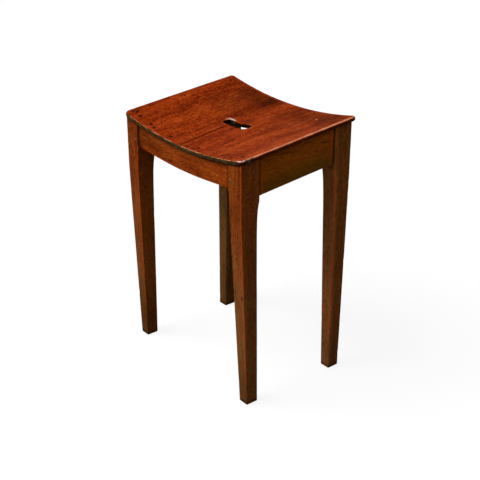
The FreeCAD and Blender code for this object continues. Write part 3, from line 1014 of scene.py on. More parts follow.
@dataclass
class SeatBoard:
    """One board of the seat: dished, rounded and worn at its edges, with half of the hand slot.

    Its plan is drawn mirrored where it is the left board, so that its outer edge is always on the
    right. A distance called real is counted to the stool's own right instead.
    """

    side: Side
    seat: SeatShape
    slot: HandSlot
    joint: BoardJoint
    nails: NailPlan
    corner: float = 0.009
    front_corner: float = 0.011
    upper_edge: float = 4.6 * MM
    crisp_edge: float = 3.9 * MM
    lower_edge: float = 3.1 * MM
    rim: float = 1.7 * MM
    chipped: Pair = (0.184, -0.136)
    chip_reach: float = 0.016
    step: float = 4.4 * MM
    under_step: float = 1.6
    joint_rows: tuple[float, ...] = (0.35 * MM, 1.0 * MM, 2.1 * MM)
    hole: float = 2.45 * MM
    hole_depth: float = 1.5 * MM
    hole_points: int = 12
    collar: float = 1.7
    corner_steps: int = 6
    edge_steps: int = 5

    @property
    def sign(self) -> int:
        """The sign of X on the board's side."""
        return self.side.value

    def _mirrored_joint(self, along: float) -> float:
        """Distance from the middle to the joint, counted towards this board's own side."""
        return self.joint.across(along) * self.sign

    def _straight(
        self, start: Pair, end: Pair, inward: Pair, edge: Edge, ends: tuple[bool, bool] = (True, True),
    ) -> list[Station]:
        """Divide a straight edge into stations.

        Args:
            start: Its start, across and along.
            end: Its end.
            inward: The direction into the wood.
            edge: What edge it is.
            ends: Whether its first and last points count.

        Returns:
            The stations.
        """
        first, last = Vector(start), Vector(end)
        count = max(round((last - first).length / self.step), 1)
        picked = range(0 if ends[0] else 1, count + 1 if ends[1] else count)
        return [Station(*first.lerp(last, k / count), inward, edge) for k in picked]

    def _arc(self, centre: Pair, radius: float, turn: Pair, edge: Edge) -> list[Station]:
        """Divide a rounded corner into stations, without its two end points.

        Args:
            centre: The arc's centre, across and along.
            radius: The arc's radius.
            turn: The first and the last angle, in degrees.
            edge: What edge it is. The wood lies outside the arc at the slot, and inside elsewhere.

        Returns:
            The stations.
        """
        found = []
        for count in range(1, self.corner_steps):
            angle = math.radians(turn[0] + (turn[1] - turn[0]) * count / self.corner_steps)
            outward = Vector((math.cos(angle), math.sin(angle)))
            spot = Vector(centre) + outward * radius
            inward = outward if edge is Edge.SLOT else -outward
            found.append(Station(spot.x, spot.y, tuple(inward), edge))
        return found

    def stations(self) -> list[Station]:
        """Walk round the board's mirrored plan.

        Returns:
            The stations, anticlockwise from the front end of the joint.
        """
        far, deep = self.seat.width / 2, self.seat.depth / 2
        f, c, r = self.front_corner, self.corner, self.slot.corner
        end, front, back = self.slot.end(self.side), self.slot.front, self.slot.back
        joint = self._mirrored_joint
        lean = (joint(MM) - joint(0.0)) / MM
        walk = self._straight((joint(-deep), -deep), (far - f, -deep), (0, 1), Edge.FRONT)
        walk[0] = Station(joint(-deep), -deep, (lean, 1), Edge.FRONT)
        walk += self._arc((far - f, -deep + f), f, (-90, 0), Edge.SIDE)
        walk += self._straight((far, -deep + f), (far, deep - c), (-1, 0), Edge.SIDE)
        walk += self._arc((far - c, deep - c), c, (0, 90), Edge.SIDE)
        walk += self._straight((far - c, deep), (joint(deep), deep), (0, -1), Edge.BACK)
        walk[-1] = Station(joint(deep), deep, (-lean, -1), Edge.BACK)
        walk += self._straight(
            (joint(deep), deep), (joint(back), back), (0, 0), Edge.JOINT, (False, False))
        walk.append(Station(joint(back), back, (lean, 1), Edge.SLOT))
        walk += self._straight((joint(back), back), (end - r, back), (0, 1), Edge.SLOT, (False, True))
        walk += self._arc((end - r, back - r), r, (90, 0), Edge.SLOT)
        walk += self._straight((end, back - r), (end, front + r), (1, 0), Edge.SLOT)
        walk += self._arc((end - r, front + r), r, (0, -90), Edge.SLOT)
        walk += self._straight((end - r, front), (joint(front), front), (0, -1), Edge.SLOT, (True, False))
        walk.append(Station(joint(front), front, (-lean, -1), Edge.SLOT))
        walk += self._straight(
            (joint(front), front), (joint(-deep), -deep), (0, 0), Edge.JOINT, (False, False))
        return [self._stray(station) for station in walk]

    def _stray(self, station: Station) -> Station:
        """Move a station of the slot's edge to where the hand-cut edge runs."""
        stray = self.slot.wander(station.across * self.sign, station.along)
        return replace(station, along=station.along + stray) if station.edge is Edge.SLOT else station

    def _radius(self, station: Station, upper: bool) -> float:
        """The rounding at one station, a little uneven and fuller where hands have worn it.

        Args:
            station: The station.
            upper: Whether it is the upper arris.

        Returns:
            The radius.
        """
        real = station.across * self.sign
        wander = unevenness((real, station.along, 0.0 if upper else 0.1), 0.035, 2.0)
        if station.edge is Edge.SLOT:
            worn = smooth(station.along, -0.004, 0.009) * smooth(-real, -0.02, 0.02) if upper else 1.1
            return self.rim * (1 + 0.12 * wander + 0.5 * worn)
        radius = self._upper_radius(station) if upper else self.lower_edge
        return radius * (1.02 + 0.10 * wander)

    def _upper_radius(self, station: Station) -> float:
        """The mean rounding of the upper arris: fullest at the right, and less away from the corners.

        Args:
            station: The station.

        Returns:
            The radius.
        """
        if station.edge is Edge.BACK or (station.edge is Edge.SIDE and self.side is Side.LEFT):
            return self.crisp_edge
        from_side = self.seat.width / 2 - station.across
        sharp = smooth(from_side, 0.010, 0.034) if station.edge is Edge.FRONT else 0.0
        less = 1.5 * MM * fade(station.along, -0.128, -0.095) * (1 - sharp)
        return self.upper_edge * (1 - 0.48 * sharp) - less

    def _profile(self) -> list[tuple[bool, float]]:
        """List the rings from the lower face round the edge to the top: arris and angle."""
        turns = [math.pi / 2 * k / self.edge_steps for k in range(self.edge_steps + 1)]
        return [(False, turn) for turn in turns] + [(True, turn) for turn in reversed(turns)]

    def _ring_point(self, station: Station, upper: bool, turn: float) -> tuple[Pair, float]:
        """Place one ring's point at one station.

        Args:
            station: The station.
            upper: Whether the point lies on the upper arris.
            turn: How far round the arris it lies: 0 on the face, a right angle on the edge.

        Returns:
            The plan place, mirrored, and the height over the slab's middle plane.
        """
        radius = self._radius(station, upper)
        inset = radius * (1 - math.sin(turn))
        across = station.across + station.inward[0] * inset
        along = station.along + station.inward[1] * inset
        drop = radius * (1 - math.cos(turn))
        lift = self.seat.top(across) - drop if upper else self.seat.under(across) + drop
        if upper and station.edge not in (Edge.JOINT, Edge.SLOT):
            lift -= self._chip_depth(across * self.sign, along)
        return (across, along), lift

    def _near_chip(self, real: float, along: float, core: float) -> float:
        """How near a place is to the chipped corner: 1 inside a core of a given radius."""
        away = math.hypot(real - self.chipped[0], along - self.chipped[1])
        return fade(away, core, self.chip_reach)

    def _chip_depth(self, real: float, along: float) -> float:
        """How deep the upper arris is knocked off at a place."""
        nick = smooth(unevenness((real, along, 0.0), 0.0075, 11.0), 0.34, 0.62)
        return 0.7 * MM * self._near_chip(real, along, 4 * MM) * (0.7 + 0.3 * nick) + 0.45 * MM * nick

    def _surface_dip(self, real: float, along: float) -> float:
        """How far the top face lies under its true dish: joint groove, scraper waves and dents.

        Args:
            real: Distance right of the middle.
            along: Distance along the seat.

        Returns:
            The dip's depth.
        """
        groove = abs(real - self.joint.across(along))
        dip = 0.55 * MM * self.joint.openness(along) * fade(groove, 0.1 * MM, 0.9 * MM)
        dip += 0.10 * MM * (1 + unevenness((real, along * 0.4, 0.0), 0.045, 5.0))
        for mark in SEAT_MARKS:
            off_x, off_y = real - mark.x * MM, along - mark.y * MM
            away = math.hypot(off_x / (mark.half_x * MM), off_y / (mark.half_y * MM))
            dip += 0.35 * MM * fade(away, 0.3, 1.2)
        return dip

    def _masks(self, station: Station, upper: bool, turn: float) -> dict[str, float]:
        """The surface masks of a ring's point.

        Args:
            station: The station.
            upper: Whether the point lies on the upper arris.
            turn: How far round the arris it lies.

        Returns:
            The masks by name.
        """
        if station.edge is Edge.JOINT:
            open_here = self.joint.openness(station.along)
            return {"grime": open_here if upper else 0.9, "raw": 0.0 if upper else 1.0}
        real, bend = station.across * self.sign, math.sin(2 * turn)
        if station.edge is Edge.SLOT:
            # rubbed at the back and towards the left, where the pale colour is a painted highlight, and
            # black inside as painted shade
            shows = upper and turn < 1.3
            lit = smooth(station.along, -0.006, 0.003) * (0.40 + 0.60 * smooth(-real, 0.006, 0.024))
            return {"wear": lit * (0.35 + 0.65 * bend) * shows, "grime": 0.15 if shows else 1.0}
        chip = self._near_chip(real, station.along, 5 * MM)
        ends = 0.0 if station.edge is Edge.SIDE else 1.0
        # the lower arris is darkened as painted shade under the edge: all of it at the sides, and in front
        # and at the back towards the lower face and towards the right
        if not upper:
            soil_and_shade = max(0.95 * fade(turn, 1.05, 1.5), 0.25 * smooth(real, 0.0, 0.12)) if ends else 0.8
            return {"end_grain": ends, "raw": fade(turn, 0.0, 1.2), "grime": max(soil_and_shade, chip)}
        # rubbed on the bend, where the pale colour is also a painted highlight, and end grain below it in
        # front and at the back; the side edges' lower part is darkened as painted shade
        if ends:
            soil_and_shade = 0.05 + 0.25 * smooth(real, 0.0, 0.12)
            wear = (0.02 + 0.98 * bend) * (0.78 if station.edge is Edge.FRONT else 0.34)
            wear *= (1 - 0.5 * smooth(-real, 0.150, 0.180)) * (1 - 0.95 * smooth(turn, 0.80, 1.30))
        else:
            soil_and_shade = 0.75
            wear = (0.26 + 0.64 * bend) * smooth(real, -0.10, 0.10) * (1 - 0.6 * smooth(turn, 1.0, 1.5))
        grime = max(soil_and_shade * smooth(turn, 0.95, 1.5), 0.9 * chip * smooth(turn, 0.7, 1.2))
        return {"wear": wear, "end_grain": ends * smooth(turn, 0.15, 0.75), "grime": grime}

    def _face_masks(self, real: float, along: float) -> dict[str, float]:
        """The top face's masks: dirt in the joint, and darker patches beside it, at the left and towards the
        back.

        Args:
            real: Distance right of the middle.
            along: Distance along the seat.

        Returns:
            The masks by name.
        """
        groove = abs(real - self.joint.across(along))
        joint = self.joint.openness(along) * fade(groove, 0.6 * MM, 2.6 * MM)
        beside = 0.28 * smooth(along, 0.016, 0.04) * fade(groove, 2 * MM, 16 * MM)
        back_left = 0.38 * smooth(along, -0.01, 0.03) + 0.26 * smooth(along, 0.065, 0.105)
        back_left *= smooth(real, -0.155, -0.10) * fade(real, -0.035, 0.02)
        back_right = 0.19 + 0.32 * smooth(along, 0.05, 0.10)
        back_right *= smooth(along, -0.05, 0.02) * smooth(real, 0.0, 0.04)
        left = 0.13 * smooth(along, -0.07, -0.01) * fade(real, -0.04, 0.0) * smooth(real, -0.16, -0.10)
        rear = 0.22 * smooth(along, 0.06, 0.125)
        return {"grime": max(joint, beside, back_left, back_right, left, rear)}

    def build(self) -> bpy.types.Object:
        """Make the board's mesh.

        Returns:
            The board.
        """
        mesh = PieceMesh()
        walk = self.stations()
        rings: list[list[int]] = []
        for upper, turn in self._profile():
            ring = []
            for station in walk:
                (across, along), lift = self._ring_point(station, upper, turn)
                real = across * self.sign
                if upper and turn == 0.0:
                    lift -= self._surface_dip(real, along)
                if station.edge is Edge.JOINT:
                    real += TIGHT * self.sign
                spot = self.seat.place(real, along, lift)
                ring.append(mesh.add(spot, **self._masks(station, upper, turn)))
            rings.append(ring)
        mesh.skin(rings)
        self._fill(mesh, walk, rings[-1], upper=True)
        self._fill(mesh, walk, rings[0], upper=False)
        return mesh.build(f"{self.side.word}_seat_board")

    def _fill(self, mesh: PieceMesh, walk: list[Station], loop: list[int], upper: bool) -> None:
        """Fill a face of the board with even quads, and sink the nail holes in the top.

        Args:
            mesh: The board being made.
            walk: The board's stations.
            loop: The points round the face.
            upper: Whether it is the top face.
        """
        edge = [Vector(self._ring_point(station, upper, 0.0)[0]) for station in walk]
        holes = [
            Vector((x * self.sign, along)) for x, along in self.nails.all_places()
            if upper and x * self.sign > 0]
        plan = list(edge)
        links = [(k, (k + 1) % len(edge)) for k in range(len(edge))]
        for hole in holes:
            first, count = len(plan), self.hole_points
            plan += self._hole_ring(hole)
            links += [(first + k, first + (k + 1) % count) for k in range(count)]
            plan += self._hole_ring(hole, self.collar, 0.5)
        if upper:
            plan += [
                Vector((station.across + row, station.along)) for station in walk
                if station.edge is Edge.JOINT for row in self.joint_rows]
        plan += self._grid(edge, holes, self.step if upper else self.step * self.under_step)

        spots, _, faces, origins, _, _ = delaunay_2d_cdt(plan, links, [], 1, 1e-7)
        numbers = []
        for spot, origin in zip(spots, origins):
            if origin and origin[0] < len(edge):
                numbers.append(loop[origin[0]])
                continue
            real = spot.x * self.sign
            if upper:
                lift = self.seat.top(spot.x) - self._surface_dip(real, spot.y)
                masks = self._face_masks(real, spot.y)
            else:
                lift, masks = self.seat.under(spot.x), {"raw": 1.0, "grime": 0.15}
            numbers.append(mesh.add(self.seat.place(real, spot.y, lift), **masks))
        for face in faces:
            middle = sum((spots[k] for k in face), Vector((0, 0))) / len(face)
            if all((middle - hole).length > self.hole * 0.9 for hole in holes):
                mesh.flat.append(tuple(numbers[k] for k in face))
        for hole in holes:
            rim = [self._nearest(spots, wanted) for wanted in self._hole_ring(hole)]
            self._sink(mesh, hole, [numbers[k] for k in rim])

    def _hole_ring(self, hole: Vector, share: float = 1.0, shift: float = 0.0) -> list[Vector]:
        """List the points round a nail hole, at a share of its radius and turned by a share of a step."""
        return [hole + Vector(spoke) * self.hole * share for spoke in circle(self.hole_points, shift)]

    def _nearest(self, spots: Sequence[Vector], wanted: Vector) -> int:
        """The number of the plan point nearest to a wanted one."""
        return min(range(len(spots)), key=lambda k: (spots[k] - wanted).length_squared)

    def _sink(self, mesh: PieceMesh, hole: Vector, rim: list[int]) -> None:
        """Sink one nail hole from its rim.

        Args:
            mesh: The board being made.
            hole: The hole's place in the mirrored plan.
            rim: The rim's points.
        """
        # the hole's wall is darkened as painted shade
        above = rim
        for depth, share in ((0.3 * MM, 0.99), (self.hole_depth, 0.97)):
            below = []
            for spot in self._hole_ring(hole, share):
                lift = self.seat.top(spot.x) - 0.15 * MM - depth
                below.append(mesh.add(self.seat.place(spot.x * self.sign, spot.y, lift), grime=1.0))
            mesh.bridge(above, below)
            above = below
        mesh.faces.append(tuple(above))

    def _grid(self, edge: list[Vector], holes: list[Vector], step: float) -> list[Vector]:
        """Lay an even grid inside the face, clear of its edge, the joint and the holes.

        Args:
            edge: The face's outline.
            holes: The nail holes.
            step: The grid's spacing.

        Returns:
            The grid's points.
        """
        far, deep = self.seat.width / 2, self.seat.depth / 2
        xs = np.arange(-0.03, far, step)
        ys = np.arange(-deep + step * 0.7, deep, step)
        grid = np.array([(x, y) for x in xs for y in ys])
        ring = np.array([tuple(p) for p in edge])
        after = np.roll(ring, -1, axis=0)
        span = after - ring
        inside = np.zeros(len(grid), bool)
        for (x0, y0), (x1, y1) in zip(ring, after):
            crosses = (y0 > grid[:, 1]) != (y1 > grid[:, 1])
            with np.errstate(divide="ignore", invalid="ignore"):
                meet = x0 + (grid[:, 1] - y0) / (y1 - y0) * (x1 - x0)
            inside ^= crosses & (grid[:, 0] < meet)
        share = np.einsum("nij,ij->ni", grid[:, None] - ring[None], span)
        share /= np.maximum((span**2).sum(1), 1e-12)
        foot = ring[None] + np.clip(share, 0, 1)[..., None] * span[None]
        away = np.linalg.norm(grid[:, None] - foot, axis=2).min(1)
        keep = inside & (away > step * 0.5)
        joint_clear = self.joint_rows[-1] + step * 0.5
        keep &= np.array([
            x - self._mirrored_joint(y) > joint_clear or self.slot.front < y < self.slot.back
            for x, y in grid])
        for hole in holes:
            clear = self.hole * self.collar + step * 0.35
            keep &= np.linalg.norm(grid - np.array(hole), axis=1) > clear
        return [Vector(spot) for spot in grid[keep]]


@dataclass
class StoppingGroup:
    """The shrunk caps of filler over one group of nail heads."""

    group: NailGroup
    seat: SeatShape
    nails: NailPlan
    radius: float = 2.3 * MM
    sunk: float = 0.32 * MM
    depth: float = 1.45 * MM
    swell: float = 0.08 * MM
    roughness: float = 0.07 * MM
    cap_points: int = 14

    def build(self) -> bpy.types.Object:
        """Make the caps as one piece.

        Returns:
            The piece.
        """
        profile = (
            (-self.depth, 0.95), (-self.depth * 0.5, 0.97), (-self.sunk, 1.0),
            (-self.sunk + self.swell, 0.86), (-self.sunk, 0.5))
        mesh = PieceMesh()
        for number, (across, along) in enumerate(self.nails.places(self.group)):
            rings = []
            for lift, share in profile:
                ring = []
                for cos, sin in circle(self.cap_points):
                    spot = (across + cos * self.radius * share, along + sin * self.radius * share)
                    rough = self.roughness * unevenness((*spot, number * 0.01), 0.0012, 3.0)
                    height = self.seat.top(spot[0]) - 0.1 * MM + lift + rough
                    ring.append(mesh.add(self.seat.place(*spot, height)))
                rings.append(ring)
            mesh.loft(rings)
        return mesh.build(f"{self.group.value}_stopping")


@dataclass(frozen=True)
class FramePlan:
    """The faces, shoulders and heights that the legs, rails, pegs and corner blocks share."""

    seat: SeatShape
    face_x: float = 0.1817
    front_overhang: float = 2.2 * MM
    back_overhang: float = 8.7 * MM
    block: Pair = (0.038, 0.043)
    setback: float = 1.2 * MM
    rail_thickness: float = 0.020
    end_rail_depth: float = 0.040
    bow: float = 0.009
    side_rail_depth: float = 0.0813
    tenon_shoulder: float = 5.0 * MM

    @property
    def shoulder_x(self) -> float:
        """Distance of the end rails' ends from the middle."""
        return self.face_x - self.block[0]

    def face_y(self, end: End) -> float:
        """Distance of the legs' outer faces from the middle, at one end."""
        overhang = self.front_overhang if end is End.FRONT else self.back_overhang
        return self.seat.depth / 2 * math.cos(self.seat.tilt) - overhang

    def shoulder_y(self, end: End) -> float:
        """Distance of the side rails' ends from the middle, at one end."""
        return self.face_y(end) - self.block[1]

    def end_rail_low(self, end: End) -> float:
        """Height of the lowest point of an end rail's bowed lower edge."""
        edge = self.seat.edge_at(end.value * self.face_y(end))
        return edge - self.seat.sag - self.seat.thickness - self.end_rail_depth

    def tenon_low(self, end: End) -> float:
        """Height of the lower edge of an end rail's tenons."""
        return self.end_rail_low(end) + self.bow + self.tenon_shoulder

    def side_rail_low(self, y: float) -> float:
        """Height of the side rails' lower edge at a distance behind the middle."""
        return self.seat.edge_at(y) - self.side_rail_depth


@dataclass(frozen=True)
class LegLook:
    """How dirt and painted light and shade lie on one leg, which differs from corner to corner.

    The right face is darkened by painted shade, from one strength at its foot to another at its top, the
    seams are how dark the joints with the two rails show, and the leg fades below, on all faces and once
    more on the front one; on the back legs that tint paints light and shade. A hidden leg stands in shade:
    it is darkened all over as painted shade and has no painted highlight.
    """

    foot_shade: float
    top_shade: float
    end_seam: float
    side_seam: float
    faded_from: float
    faded_low: float
    faded_front: float
    hidden: bool = False


LEG_LOOKS = {
    (End.FRONT, Side.LEFT): LegLook(0.10, 0.30, 1.0, 0.5, 0.03, 0.40, 0.0),
    (End.FRONT, Side.RIGHT): LegLook(0.36, 0.06, 0.35, 0.5, 0.12, 0.40, 0.0),
    (End.BACK, Side.LEFT): LegLook(0.48, 0.60, 1.0, 0.7, 0.03, 0.15, 0.66, hidden=True),
    (End.BACK, Side.RIGHT): LegLook(0.34, 0.10, 0.35, 0.7, 0.12, 0.15, 0.66),
}


@dataclass
class CornerPiece:
    """A piece at one of the stool's four corners."""

    side: Side
    end: End
    plan: FramePlan

    @property
    def spot(self) -> str:
        """The corner's name in a piece's name."""
        return f"{self.end.word}_{self.side.word}"

    @property
    def turn(self) -> float:
        """A number of the corner's own, from which its pieces' unevenness is seeded."""
        return 2.0 * self.side.value + self.end.value

    def outward(self, x: float, y: float) -> Pair:
        """Give distances from the stool's middle, outward to this corner, their signs."""
        return self.side.value * x, self.end.value * y


@dataclass
class Leg(CornerPiece):
    """One leg: a block at the rails, a cove below each of them, then a long taper to the foot."""

    waist: Pair = (0.033, 0.0372)
    foot: Pair = (0.0227, 0.026)
    front_inset: float = 0.014
    back_inset: float = 0.010
    splay: float = 1.7 * MM
    block_drop: float = 0.011
    cove_height: float = 0.027
    cove_fall: Pair = (0.011, 0.023)
    cove_zone: float = 0.070
    arris: float = 1.4 * MM
    worn_toe: float = 2.2 * MM
    toe_height: float = 2.6 * MM
    seam: float = 1.4 * MM
    taper_steps: int = 42
    cove_steps: int = 18
    block_steps: int = 16

    @property
    def seed(self) -> float:
        """A number of the leg's own, for its unevenness."""
        return 3.0 + self.turn

    @property
    def look(self) -> LegLook:
        """The leg's dirt and light."""
        return LEG_LOOKS[self.end, self.side]

    @property
    def block_low(self) -> float:
        """Height of the lower end of the block's full depth."""
        return self.plan.side_rail_low(self.end.value * self.plan.shoulder_y(self.end)) - self.block_drop

    @property
    def neck(self) -> float:
        """Height of the end rail's lower edge, where the block's full width ends."""
        return self.plan.end_rail_low(self.end) + self.plan.bow

    def _tapered(self, axis: int, z: float) -> float:
        """The leg's size at a height, with its coves: width for axis 0 and depth for axis 1.

        Args:
            axis: Which of the two sizes.
            z: Height over the floor.

        Returns:
            The size.
        """
        waist_at = self.block_low - self.cove_height
        level = (self.neck, self.block_low)[axis]
        climb = (self.waist[axis] - self.foot[axis]) / waist_at
        extra = self.plan.block[axis] - self.foot[axis] - climb * level
        swell = math.exp(-max(level - z, 0.0) / self.cove_fall[axis])
        swell *= 1 - 0.12 * smooth(level - z, 0.0, 3 * MM)
        return self.foot[axis] + climb * min(z, level) + extra * swell

    def _section(self, z: float) -> tuple[float, float, float, float]:
        """The leg's width and depth at a height, and the distances of its outer faces from the middle.

        Args:
            z: Height over the floor.

        Returns:
            The width, the depth, the outer face's X and the outer face's Y.
        """
        fall = max(1 - z / (self.block_low - self.cove_height), 0.0)
        inset = self.front_inset if self.end is End.FRONT else self.back_inset
        outer_x = self.plan.face_x + self.splay * fall
        outer_y = self.plan.face_y(self.end) - inset * fall
        return self._tapered(0, z), self._tapered(1, z), outer_x, outer_y

    def _levels(self) -> list[float]:
        """The heights of the leg's rings, from the floor to just under the seat.

        Returns:
            The heights, close together at the toe and in the coves.
        """
        toe, low, step = 2.5 * MM, self.block_low - self.cove_zone, 0.7 * MM
        inner_y = self.plan.shoulder_y(self.end) if self.end is End.BACK else self.plan.face_y(self.end)
        top = self.plan.seat.under_at(self.plan.shoulder_x, self.end.value * inner_y) - 6 * MM
        taper = [toe + (low - toe) * k / self.taper_steps for k in range(self.taper_steps + 1)]
        shares = [1 - (1 - k / self.cove_steps) ** 1.6 for k in range(1, self.cove_steps + 1)]
        cove = [low + self.cove_zone * share for share in shares]
        rise = top - self.block_low - step
        block = [self.block_low + step + rise * k / self.block_steps for k in range(self.block_steps + 1)]
        return [0.0, 0.35 * MM, 1.0 * MM, *taper, *cove, *block]

    def _outline(self, z: float) -> list[OutlinePoint]:
        """Draw the leg's rounded section at a height.

        Args:
            z: Height over the floor.

        Returns:
            The section's points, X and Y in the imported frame.
        """
        width, depth, outer_x, outer_y = self._section(z)
        worn = self.worn_toe * max(1 - z / self.toe_height, 0.0) ** 2
        xs = sorted(self.side.value * (outer_x - d) for d in (worn, width - worn))
        ys = sorted(self.end.value * (outer_y - d) for d in (worn, depth - worn))
        corners = ((xs[0], ys[0]), (xs[1], ys[0]), (xs[1], ys[1]), (xs[0], ys[1]))
        in_block = smooth(z, self.neck - 8 * MM, self.neck)
        radii = []
        for x, y in corners:
            outer = x * self.side.value > outer_x - width / 2 and y * self.end.value > outer_y - depth / 2
            wander = 1 + 0.30 * unevenness((x, y, z), 0.05, self.seed)
            wander += 0.15 * unevenness((x, y, z), 0.012, self.seed + 9)
            radii.append(self.arris * wander * (1.0 if outer else 0.8 - 0.45 * in_block))
        return RoundedOutline(corners, tuple(radii), face_steps=6).points()

    def _hollow(self, point: OutlinePoint, z: float) -> float:
        """How deep plane marks and old knocks go at one point of the leg."""
        knock = point.arris * smooth(unevenness((point.a, point.b, z), 0.011, self.seed + 4), 0.42, 0.75)
        return 0.55 * MM * knock + 0.10 * MM * (
            1 + unevenness((point.a, point.b, z * 0.35), 0.03, self.seed))

    def build(self) -> bpy.types.Object:
        """Make the leg's mesh.

        Returns:
            The leg.
        """
        mesh = PieceMesh()
        levels = self._levels()
        rings = [self._lay(mesh, z, lambda x, y, height=z: height) for z in levels]
        rings.append(self._lay(mesh, levels[-1], lambda x, y: self.plan.seat.under_at(x, y) - TIGHT))
        mesh.loft(rings, end_grain=1.0, grime=0.5)
        return mesh.build(f"{self.spot}_leg")

    def _lay(self, mesh: PieceMesh, z: float, height: Callable[[float, float], float]) -> list[int]:
        """Lay one ring of the leg.

        Args:
            mesh: The leg being made.
            z: The height whose section is used.
            height: Gives each point's own height from its X and Y.

        Returns:
            The ring's points.
        """
        width, depth, outer_x, outer_y = self._section(z)
        centre = Vector(self.outward(outer_x - width / 2, outer_y - depth / 2))
        ring = []
        for point in self._outline(z):
            spot = Vector((point.a, point.b))
            spot += (centre - spot).normalized() * self._hollow(point, z)
            level = height(spot.x, spot.y)
            facing = Vector(((spot.x - centre.x) / (width / 2), (centre.y - spot.y) / (depth / 2)))
            masks = self._masks(point, spot, facing, level)
            ring.append(mesh.add(Vector((spot.x, spot.y, level)), **masks))
        return ring

    def _masks(self, point: OutlinePoint, spot: Vector, facing: Vector, z: float) -> dict[str, float]:
        """The surface masks of one point of the leg.

        Args:
            point: The section's point.
            spot: Its place in plan.
            facing: How far it lies to the right, and to the front: 1 on the face that looks there.
            z: Its height.

        Returns:
            The masks by name.
        """
        look = self.look
        joined, grime = self._rail_grime(spot, z)
        grime = max(grime, 0.95 * fade(z, 1 * MM, 8 * MM), 0.40 * fade(z, 0.03, 0.17))
        # the outer front arris gets the pale worn colour as a painted highlight, unless the leg is hidden;
        # other arrises are darkened as painted shade
        outer_half = spot.x > self.side.value * (self.plan.face_x - self.plan.block[0] / 2)
        bright = not look.hidden and facing.y > 0.5 and outer_half
        wear = point.arris * smooth(z, 0.01, 0.07) * (0.15 if joined else 1.0 if bright else 0.2)
        if not bright:
            grime = max(grime, 0.34 * point.arris)
        # a hidden leg stands in shade: painted shade all over it, most at the top
        if look.hidden:
            grime = max(grime, 0.22 + 0.28 * smooth(z, 0.16, 0.27))
        low = fade(z, look.faded_from, 0.46)
        front = smooth(facing.y, 0.6, 0.95)
        # painted shade on the right face, set by the leg's look
        right = smooth(facing.x, 0.7, 0.97) * (1 - front)
        shade = look.foot_shade + (look.top_shade - look.foot_shade) * smooth(z, 0.30, 0.43)
        grime = max(grime, right * shade)
        # the pale tint: towards the foot, on the front face, and on the right face, where it is painted
        # shade; on the back legs' front faces it is painted light and shade
        faded = 0.04 + look.faded_low * low + front * (look.faded_front + 0.5 * low) + 0.22 * right
        return {"wear": wear, "grime": grime, "end_grain": fade(z, 0.0, 1.2 * MM), "faded": min(faded, 0.92)}

    def _rail_grime(self, spot: Vector, z: float) -> tuple[bool, float]:
        """The darkening where the leg meets the seat and the rails: dark seams, and painted shade under the
        seat and the side rail.

        Args:
            spot: The point's place in plan.
            z: Its height.

        Returns:
            Whether a rail covers the point, and how dark the point is.
        """
        inner_x = self.plan.shoulder_x + 1 * MM - spot.x * self.side.value
        inner_y = self.plan.shoulder_y(self.end) + 1 * MM - spot.y * self.end.value
        rail_low = self.block_low + self.block_drop
        # painted shadow just under the seat
        grime = 0.35 * fade(self.plan.seat.under_at(spot.x, spot.y) - z, 0.5 * MM, 8 * MM)
        joined = (inner_x > 0 and z > self.neck - 1 * MM) or (inner_y > 0 and z > rail_low - 1 * MM)
        if joined:
            grime = max(grime, 0.75)
        # painted shade on the inner part, up to the side rail's lower edge
        if inner_y > 0:
            grime = max(grime, 0.45 * smooth(z, rail_low - 0.055, rail_low))
        if abs(inner_x - 1 * MM) < self.seam and z > self.neck:
            grime = max(grime, self.look.end_seam)
        if abs(inner_y - 1 * MM) < self.seam and z > rail_low:
            grime = max(grime, self.look.side_seam)
        return joined, grime


@dataclass(frozen=True)
class RailSection:
    """A rail's section at one place along it: distance from the stool's middle, then height.

    The sign tells which way is outward there, face is the outer face's distance, low the lower
    edge's height and under gives the height of the boards' lower face over a distance.
    """

    sign: int
    face: float
    thickness: float
    low: float
    lower_arris: float
    under: Callable[[float], float]
    inner_arris: float = 0.8 * MM
    upper_arris: float = 0.2 * MM

    def points(self, face_steps: int) -> list[OutlinePoint]:
        """Draw the section.

        Args:
            face_steps: How many points each face has.

        Returns:
            The section's points.
        """
        outer, inner = self.sign * self.face, self.sign * (self.face - self.thickness)
        corners = (
            (outer, self.low), (inner, self.low),
            (inner, self.under(inner) - TIGHT), (outer, self.under(outer) - TIGHT))
        radii = (self.lower_arris, self.inner_arris, self.upper_arris, self.upper_arris)
        return RoundedOutline(corners, radii, face_steps=face_steps).points()

    def outside(self, point: OutlinePoint) -> float:
        """How far a point belongs to the outer face, from 0 to 1."""
        return smooth(abs(point.a), self.face - 5 * MM, self.face - 1 * MM)

    def near_top(self, point: OutlinePoint, reach: float) -> float:
        """How near a point is to the boards, from 1 at them to 0 at a reach below."""
        return fade(self.under(point.a) - point.b, 1 * MM, reach)

    def on_arris(self, point: OutlinePoint) -> float:
        """How far a point lies on one of the lower arrises."""
        return point.arris * (point.b < self.low + 4 * MM)

    def planed(self, point: OutlinePoint, waves: float) -> float:
        """A point's distance from the middle, sunk into the wood by the plane's waves."""
        outward = 1 if abs(point.a) < self.face - self.thickness / 2 else -1
        return point.a + 0.08 * MM * (1 + waves) * outward * self.sign


